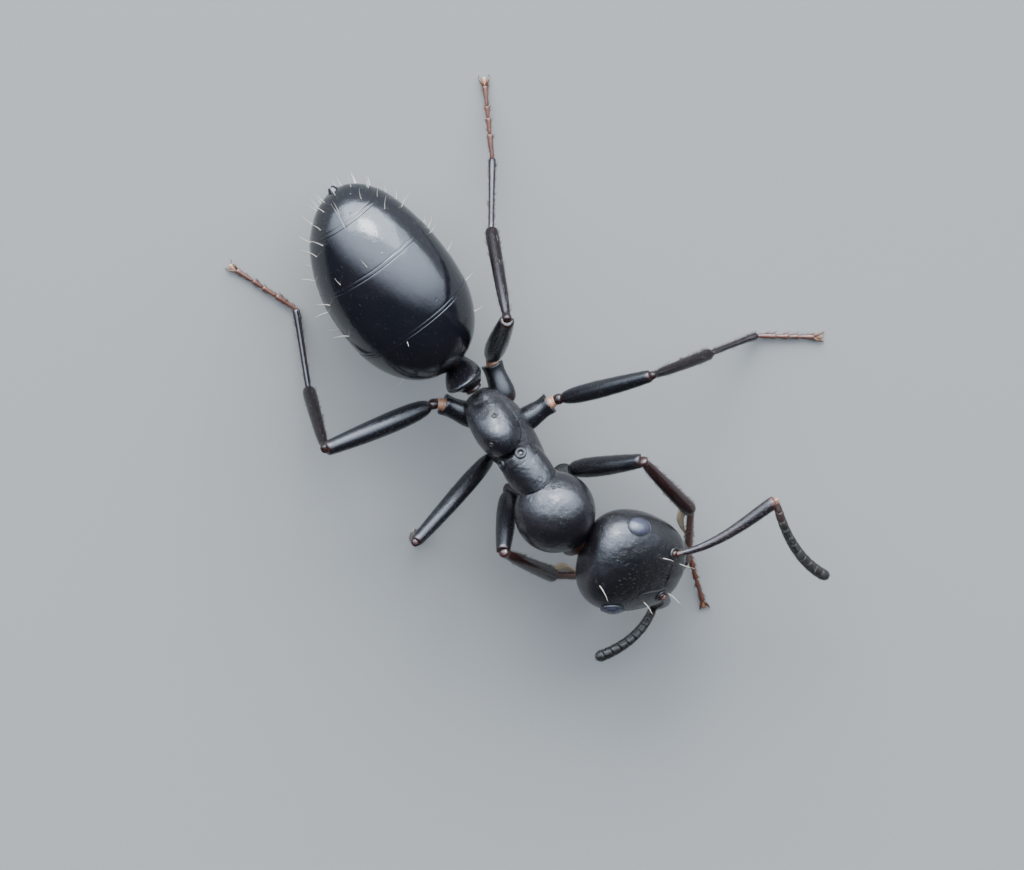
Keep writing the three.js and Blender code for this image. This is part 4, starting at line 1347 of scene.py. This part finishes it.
def make_leg(name, patterns):
    side, pair = name.split("_")
    hip, root, knee, ankle, heel, toe = leg_points(name)
    stance = STANCE[name]
    if name in ASIDE:
        root, ankle, heel, toe = [at + Vector(step) for at,
            step in zip((root, ankle, heel, toe), ASIDE[name])]
    made = {}

    def segment(kind, start, end):
        span = (end - start).length
        piece = copied(patterns[kind], "%s_%s" % (kind, name))
        stout = STOUTNESS[pair][kind]
        place = towards(start, end) @ Matrix.Diagonal((span, stout, stout, 1))
        mark_reach(piece, 0, 1)
        made[kind] = (turned(piece, place), towards(start, end), span)

    segment("coxa", hip, root)
    thigh = (knee - root).normalized()
    gap = 0.2
    segment("trochanter", root, root + thigh * gap)
    segment("femur", root + thigh * (gap - 0.01), knee)
    shin = (ankle - knee).normalized()
    segment("tibia", knee, ankle)
    segment("basitarsus", ankle, heel)
    # four short joints of the foot
    parts, at = [], heel
    sizes = (0.34, 0.22, 0.16, 0.28)
    total = toe - heel
    for index, share in enumerate(sizes):
        end = at + total * share
        piece = copied(patterns["tarsomere"], "tarsomere")
        mark_reach(piece, 0, 1)
        parts.append(turned(piece,
            towards(at, end) @ Matrix.Diagonal((total.length * share, 1 - 0.04 * index, 1 - 0.04 * index,
                1))))
        at = end
    made["tarsus"] = (joined(parts, "tarsus_" + name), towards(heel, toe), total.length)
    claws, pad = make_claws(toe, stance["foot"][1])
    claws.name, pad.name = "claws_" + name, "foot_pad_" + name

    # soft skin in each joint
    skins = []
    hinge = bellows("hip_skin", 0.2, 0.13, 0.092, 3, 0.014)
    hinge = turned(hinge, towards(root - (root - hip).normalized() * 0.15, root + thigh * 0.05))
    hinge.name = "hip_skin_" + name
    for spot, way, radius, length in ((knee, shin, 0.05, 0.08),
            (ankle, (heel - ankle).normalized(), 0.044, 0.08), (heel, total.normalized(), 0.034, 0.06)):
        sleeve = bellows("joint_skin", length, radius, radius * 0.86, 3, radius * 0.12)
        skins.append(turned(sleeve, towards(spot - way * length * 0.5, spot + way * length * 0.5)))
    made_skin = joined(skins, "joint_skins_" + name)

    # spurs at the end of the shin; the front pair is a comb for the feelers
    foot = (heel - ankle).normalized()
    spurs = []
    if pair == "front":
        inward = Vector((-0.83 if side == "left" else 0.83, 0.56, 0))
        spots = [ankle + foot * along + inward * out for along,
            out in ((-0.12, 0.1), (0.05, 0.17), (0.25, 0.19), (0.5, 0.14), (0.74, 0.06))]
        spurs.append(strand("comb_spur", spots, [0.036, 0.074, 0.07, 0.044, 0.008], sides=12))
    else:
        down = Vector((0, 0, -1))
        inner = (down - shin * down.dot(shin)).normalized()
        for offset in (0.35, -0.35):
            way = (inner + shin.cross(inner) * offset).normalized()
            base = ankle - shin * 0.06 + way * 0.075
            spots = [base, base + shin * 0.08 + way * 0.05, base + shin * 0.2 + way * 0.075]
            spurs.append(strand("spur", spots, [0.018, 0.013, 0.002], sides=8))
    made_spur = joined(spurs, "spurs_" + name)
    return made, claws, pad, made_skin, made_spur, hinge


# ---------- making it all ----------
def build_head():
    capsule, trims, eyes, jaws = make_head()
    laid_in(capsule, HEAD, 50)
    finished(capsule, HEAD_BLACK, "shell", "head")
    for piece, finish, slot in trims:
        laid_in(piece, HEAD)
        finished(piece, finish, slot)
    for (lens, rim), side in zip(eyes, ("left", "right")):
        laid_in(lens, HEAD, 12)
        lens.name = "eye_lens_" + side
        finished(lens, EYE_BLUE, "eye", "eye_" + side)
        laid_in(rim, HEAD)
        rim.name = "eye_rim_" + side
        finished(rim, EYE_RIM, "shell")
    for jaw, side in zip(jaws, ("left", "right")):
        laid_in(jaw, HEAD)
        jaw.name = "jaw_" + side
        finished(jaw, JAW_BROWN, "jaw", "mandible_" + side)
    return capsule


def build_neck():
    start = Vector((0.02, -2.42, 1.92))
    end = HEAD @ Vector((-0.72, 0, -0.4))
    neck = bellows("neck_skin", (end - start).length + 0.1, 0.24, 0.2, 4, 0.02)
    laid_in(turned(neck, towards(start, end)))
    finished(neck, JOINT_AMBER, "jaw")
    waist = bellows("waist_skins", 0.24, 0.16, 0.15, 3, 0.014)
    turned(waist, towards((0, 0.84, 1.7), (0, 1.04, 1.7)))
    second = bellows("waist_skin_rear", 0.22, 0.16, 0.17, 3, 0.014)
    turned(second, towards((0, 1.4, 1.72), (-0.02, 1.6, 1.76)))
    both = joined([waist, second], "waist_skins")
    laid_in(both)
    finished(both, HIP_BROWN, "jaw")


def build_trunk():
    made, shield, flank, rear, waist = make_trunk()
    for piece, finish, slot, node in made:
        laid_in(piece, TRUNK, 45)
        finished(piece, finish, slot, *([node] if node else []))
    return shield, flank, rear, waist


def build_gaster():
    tops, bellies, pore = make_gaster()
    for index, (top, belly) in enumerate(zip(tops, bellies)):
        laid_in(top, ABDOMEN, 30)
        finished(top, GASTER_BLACK, "shell", "gaster_%d" % (index + 1))
        laid_in(belly, ABDOMEN, 30)
        finished(belly, GASTER_BLACK, "shell")
    laid_in(pore, ABDOMEN)
    finished(pore, GASTER_BLACK, "shell")
    return tops, bellies


def build_feelers():
    pattern = make_scape()
    made = {}
    for side, sign in (("left", 1), ("right", -1)):
        turn, rise = FEELERS[side]["scape"]
        seat = HEAD @ Vector((0.55, sign * 0.42, 0.3))
        elbow = seat + heading(turn, rise) * (SCAPE_LENGTH + (0.12 if sign > 0 else 0))
        start = HEAD @ Vector((SOCKET["along"] + 0.02, sign * SOCKET["out"], 0.5))
        span = (elbow - start).length
        scape = copied(pattern, "scape_shaft_" + side)
        place = towards(start, elbow, 90 * sign)
        laid_in(turned(scape, place @ Matrix.Diagonal((span, 1, 1, 1))))
        finished(scape, FEELER_PLUM, "feeler", "scape_" + side)
        whip = make_funiculus(side, elbow)
        whip.name = "feeler_whip_" + side
        laid_in(whip)
        finished(whip, FEELER_GREEN, "feeler", "funiculus_" + side)
        knob = bellows("elbow_skin_" + side, 0.09, 0.062, 0.05, 3, 0.008)
        way = curve_at(Vector((0, 0, 0)), Vector(FEELERS[side]["bend"]), Vector(FEELERS[side]["tip"]),
            0.02).normalized()
        laid_in(turned(knob, towards(elbow - way * 0.045, elbow + way * 0.045)))
        finished(knob, JOINT_AMBER, "feeler")
        made[side] = (scape, place, span, whip, towards(elbow, elbow + Vector(FEELERS[side]["tip"])))
    thrown(pattern)
    return made


LEG_FINISH = {
    "coxa": (LEG_BLACK, "shell", "coxa_"), "trochanter": (HIP_BROWN, "shin", None),
    "femur": (LEG_BLACK, "shell", "femur_"),
    "tibia": (SHIN_BROWN, "shin", "tibia_"), "basitarsus": (SHIN_BROWN, "foot", "basitarsus_"),
    "tarsus": (FOOT_AMBER, "foot", "tarsus_"),
}


def build_legs():
    patterns = make_leg_patterns()
    legs = {}
    for name in STANCE:
        made, claws, pad, skins, spurs, hinge = make_leg(name, patterns)
        for kind, (piece, _, _) in made.items():
            finish, slot, node = LEG_FINISH[kind]
            if kind == "tibia" and not name.endswith("front"):
                finish = SHIN_DUSK
            if kind == "basitarsus":
                finish = FOOT_AMBER if name.endswith("front") else SHIN_PLUM
            laid_in(piece)
            piece.name = "leg_%s_%s" % (kind, name)
            finished(piece, finish, slot, *([node + name] if node else []))
        hinge_finish = HIP_BROWN if name.endswith("front") else JOINT_AMBER
        small_pieces = (
            (claws, CLAW_DARK, "foot"), (pad, JOINT_AMBER, "foot"), (skins, HIP_BROWN, "shin"),
            (hinge, hinge_finish, "shin"), (spurs, PAD_PALE, "foot"),
        )
        for piece, finish, slot in small_pieces:
            laid_in(piece)
            finished(piece, finish, slot)
        legs[name] = made
    for pattern in patterns.values():
        thrown(pattern)
    return legs


def erect(points, normals, lean, length, thick, rng, patches):
    tufts = []
    for root, normal, patch in zip(points, normals, patches):
        way = normal + np.array(lean) * rng.uniform(0.25, 0.6) + rng.normal(0, 0.1, 3)
        tufts.append((root, way, np.array(lean) + 1e-6, length * rng.uniform(0.8, 1.2),
            thick * rng.uniform(0.85, 1.15), patch))
    return tufts


def off_ground(tufts):
    """Leaves out the hairs whose tips would reach under the ground."""
    kept = []
    for tuft in tufts:
        way = np.array(tuft[1])
        if tuft[0][2] + way[2] / np.linalg.norm(way) * tuft[3] > tuft[4]:
            kept.append(tuft)
    return kept


# the tall hairs on the head and the gaster: root, and the way and length each one stands
HEAD_SETAE = [
    ((1.19, -3.52, 2.44), (0.19, -0.11, 0.14)), ((1.33, -3.88, 2.12), (0.19, -0.23, 0.14)),
    ((0.82, -4.24, 2.09), (0.16, -0.23, 0.14)),
    ((0.41, -4.03, 2.4), (0.09, -0.25, 0.16)), ((0.0, -3.19, 2.83), (0.04, -0.29, 0.19)),
]
GASTER_SETAE = [
    ((-0.13, 4.79, 2.15), (0.11, 0.61, 0.11)), ((-0.11, 4.99, 1.99), (0.11, 0.36, 0.06)),
    ((0.33, 4.96, 1.79), (0.07, 0.24, 0.08)),
    ((0.54, 4.79, 1.67), (0.1, 0.21, 0.12)), ((0.58, 4.6, 1.89), (0.15, 0.26, 0.05)),
    ((0.79, 4.39, 1.5), (0.21, 0.15, 0.05)),
    ((-0.6, 4.97, 1.9), (0.0, 0.23, 0.12)), ((-0.68, 4.72, 2.06), (-0.11, 0.29, 0.09)),
    ((-0.74, 3.93, 2.38), (-0.04, 0.23, 0.11)),
    ((-0.15, 4.05, 2.54), (0.01, 0.24, 0.1)), ((-1.17, 3.73, 2.13), (-0.15, 0.23, 0.1)),
    ((-1.22, 3.08, 2.21), (-0.19, 0.23, 0.13)),
    ((-0.92, 4.59, 1.96), (-0.08, 0.34, 0.09)), ((-1.23, 4.16, 1.74), (-0.12, 0.23, 0.09)),
    ((-1.33, 3.57, 1.84), (-0.2, 0.12, 0.13)),
    ((0.25, 5.16, 1.48), (0.08, 0.22, 0.12)), ((-0.04, 5.28, 1.58), (0.06, 0.24, 0.07)),
    ((-0.38, 5.19, 1.74), (-0.05, 0.25, 0.07)),
]


def placed_hairs(piece, hairs, place, length, index, slots, thick, rng):
    """Tall hairs one by one, each rooted at the nearest point of a skin."""
    tufts = []
    for root, way in hairs:
        _, at, normal, _ = piece.closest_point_on_mesh(INTO_FRAME @ Vector(root))
        patch = unwrapped([np.array(at)], place, length, index, slots)[0]
        tufts.append((np.array(at), np.array(way), np.array(way) + np.array(normal),
            Vector(way).length * 0.001, thick * rng.uniform(0.9, 1.15), patch))
    return tufts


def build_hairs(capsule, trunk, tops, bellies, feelers, legs):
    mm = 0.001
    shield, flank, rear, waist = trunk
    to_frame = lambda place: INTO_FRAME @ place
    flat_place = lambda place: Matrix.Translation(to_frame(place).translation) @ to_frame(
        place).to_quaternion().to_matrix().to_4x4()

    # head: a thin down, and a few tall pale hairs
    place = flat_place(HEAD) @ Matrix.Translation((-mm, 0, 0))
    down = flat_hairs(capsule, place, 2 * mm, 700, 11, 0.04 * mm, 0.002 * mm, 0, 1, lift=0.2)
    grown("head_down", down, FINE_HAIR, HAIR_FINE, "shell")
    rng = np.random.default_rng(5)
    tall = placed_hairs(capsule, HEAD_SETAE, place, 2 * mm, 0, 1, 0.0085 * mm, rng)
    grown("head_setae", tall, STOUT_HAIR, HAIR_PALE, "shell")

    # trunk
    down = []
    for index, (piece, start, length,
            count) in enumerate(((shield, -2.5, 1.5, 260), (flank, -1.3, 0.95, 260),
                (rear, -0.42, 1.4, 420), (waist, 0.9, 0.62, 160))):
        place = flat_place(TRUNK @ Matrix.Translation((start, 0, 1.95)))
        down += flat_hairs(piece, place, length * mm, count, 20 + index, 0.042 * mm, 0.002 * mm, index, 4,
            lift=0.2)
    grown("trunk_down", down, FINE_HAIR, HAIR_FINE, "shell")

    # gaster: fine down all over, tall pale hairs before each hem and round the tip
    down, tall = [], []
    length = GASTER["length"]
    for index, (top, belly) in enumerate(zip(tops, bellies)):
        start, end = SUTURES[index], SUTURES[index + 1]
        place = flat_place(ABDOMEN)
        down += flat_hairs(top, place, length * mm, (260, 320, 260, 140)[index], 40 + index, 0.055 * mm,
            0.002 * mm, 0, 2, lift=0.1)
        down += flat_hairs(belly, place, length * mm, (240, 300, 240, 120)[index], 50 + index, 0.075 * mm,
            0.0022 * mm, 1, 2, lift=0.08,
                           wanted=lambda spot, way: 1.0 if way[2] < -0.1 else 0.0)
        inverse = place.inverted()

        def near_hem(spot, way, inverse=inverse, start=start, end=end, index=index):
            x = (inverse @ Vector(spot)).x / (length * mm)
            band = (end - x) / (end - start)
            close = math.exp(-((band - 0.16) / 0.1) ** 2)
            return 0.2 + 0.8 * close if -0.5 < way[2] < 0.3 else 0.0

        roots, normals, rows = skin_samples(top, (5, 7, 9, 8)[index], 60 + index, near_hem)
        patches = unwrapped(roots, place, length * mm, 0, 2)
        tall += erect(roots, normals, (0.02, 0.8, 0.15), 0.24 * mm, 0.008 * mm, rows, patches)
        roots, normals, rows = skin_samples(belly, (6, 10, 12, 12)[index], 70 + index, lambda spot,
            way: 1.0 if way[2] < -0.3 else 0.0)
        patches = unwrapped(roots, place, length * mm, 1, 2)
        tall += erect(roots, normals, (0.02, 0.8, -0.1), 0.26 * mm, 0.008 * mm, rows, patches)
    rng = np.random.default_rng(6)
    for index, top in enumerate(tops):
        start, end = SUTURES[index] * length, SUTURES[index + 1] * length
        inside = [hair for hair in GASTER_SETAE if start < (ABDOMEN.inverted() @ Vector(hair[0])).x <= end]
        tall += placed_hairs(top, inside, flat_place(ABDOMEN), length * mm, 0, 2, 0.009 * mm, rng)
    grown("gaster_down", down, FINE_HAIR, HAIR_FINE, "shell")
    grown("gaster_setae", tall, STOUT_HAIR, HAIR_PALE, "shell")

    # feelers
    for side, (scape, place, span, whip, line) in feelers.items():
        down = flat_hairs(scape, flat_place(place), span * mm, 620, 80, 0.045 * mm, 0.0024 * mm, 0, 2,
            lift=0.35)
        down += flat_hairs(whip, flat_place(line), 2.1 * mm, 1500, 81, 0.036 * mm, 0.0022 * mm, 1, 2,
            lift=0.5)
        grown("feeler_down_" + side, down, FINE_HAIR, HAIR_FINE, "feeler")

    # legs: down on the thighs, rows of rusty bristles on shins and feet
    for number, (name, made) in enumerate(legs.items()):
        down, bristles = [], []
        for index, (kind, count,
                size) in enumerate((("coxa", 90, 0.06), ("femur", 300, 0.06), ("tibia", 200, 0.07),
                    ("basitarsus", 140, 0.06), ("tarsus", 200, 0.05))):
            piece, place, span = made[kind]
            frame_place = flat_place(place)
            seed = 100 + number * 10 + index
            down += flat_hairs(piece, frame_place, span * mm, count, seed, size * mm, 0.0024 * mm, index, 5,
                lift=0.25)
            if index > 1:
                across = frame_place.to_3x3()
                lean = np.array(across @ Vector((1, 0, 0)))
                edges = [across @ Vector((0, sign * 0.96, -0.28)) for sign in (1,
                    -1)] + [across @ Vector((0, 0, -1))]
                wanted = lambda spot, way, edges=edges: 1.0 if max(
                    Vector(way).dot(edge) for edge in edges) > 0.9 else 0.0
                roots, normals, rows = skin_samples(piece, (96, 78, 54)[index - 2], seed + 500, wanted)
                patches = unwrapped(roots, frame_place, span * mm, index, 5)
                for root, normal, patch in zip(roots, normals, patches):
                    way = normal * 0.75 + lean * rows.uniform(0.7, 1.0) + rows.normal(0, 0.06, 3)
                    bristles.append((root, way, -normal, rows.uniform(0.06, 0.1) * mm, 0.0062 * mm, patch))
        grown("leg_down_" + name, off_ground(down), FINE_HAIR, HAIR_DARK, "shin")
        grown("leg_bristles_" + name, off_ground(bristles), STOUT_HAIR, BRISTLE_RUST, "shin")


def build_stage():
    """A pale floor, a sky that brightens to one side, a window-like softbox and the camera over the ant."""
    put_down()
    bpy.ops.mesh.primitive_plane_add(size=1.2)
    floor = bpy.context.object
    floor.name = "studio_floor"
    made = bpy.data.materials.new("studio_paper")
    made.use_nodes = True
    skin = made.node_tree.nodes["Principled BSDF"]
    skin.inputs["Base Color"].default_value = (0.19, 0.185, 0.172, 1)
    skin.inputs["Roughness"].default_value = 0.85
    floor.data.materials.append(made)

    world = bpy.data.worlds.new("studio")
    bpy.context.scene.world = world
    world.use_nodes = True
    tree = world.node_tree
    link = tree.links.new
    aim = add_node(tree, "ShaderNodeVectorMath", {1: Vector((0.55, 0.82, 0.14)).normalized()},
        operation="DOT_PRODUCT")
    link(tree.nodes.new("ShaderNodeTexCoord").outputs["Generated"], aim.inputs[0])
    glow = add_node(
        tree, "ShaderNodeMapRange", {"From Min": 0.12, "From Max": 0.72, "To Min": 0.12, "To Max": 9.6},
        interpolation_type="SMOOTHSTEP"
    )
    link(aim.outputs["Value"], glow.inputs["Value"])
    sky = tree.nodes["Background"]
    sky.inputs["Color"].default_value = (0.72, 0.83, 1.0, 1)
    link(glow.outputs[0], sky.inputs["Strength"])

    target = Vector((-1.095, 0.17, 2.0)) * 0.001

    def softbox(name, way, distance, size, watts, colour):
        data = bpy.data.lights.new(name, "AREA")
        data.shape = "RECTANGLE"
        data.size, data.size_y = size
        data.energy = watts
        data.color = colour
        lamp = bpy.data.objects.new(name, data)
        bpy.context.collection.objects.link(lamp)
        lamp.location = target + Vector(way).normalized() * distance
        lamp.rotation_euler = (target - lamp.location).to_track_quat("-Z", "Y").to_euler()

    softbox("window", (0.52, 0.84, 0.4), 0.14, (0.2, 0.1), 0.5, (0.82, 0.9, 1.0))
    softbox("sun_patch", (0.46, 0.84, 0.62), 0.125, (0.05, 0.03), 0.12, (0.95, 0.98, 1.0))

    towards_camera = Vector((0.1728, 0.2562, 0.9511))
    image_up = Vector((0.5318, 0.7884, -0.3090))
    image_right = Vector((0.8290, -0.5592, 0.0))
    camera = bpy.data.objects.new("camera", bpy.data.cameras.new("camera"))
    bpy.context.collection.objects.link(camera)
    camera.data.sensor_fit = "HORIZONTAL"
    camera.data.sensor_width = 36
    distance, width = 0.16, 0.018 * 1024 * 0.001
    camera.data.lens = 36 * distance / width
    camera.data.clip_start, camera.data.clip_end = 0.01, 10
    turn = Matrix((image_right, image_up, towards_camera)).transposed().to_4x4()
    camera.matrix_world = Matrix.Translation(target + towards_camera * distance) @ turn
    bpy.context.scene.camera = camera


capsule = build_head()
build_neck()
trunk = build_trunk()
tops, bellies = build_gaster()
feelers = build_feelers()
legs = build_legs()
build_hairs(capsule, trunk, tops, bellies, feelers, legs)
build_stage()
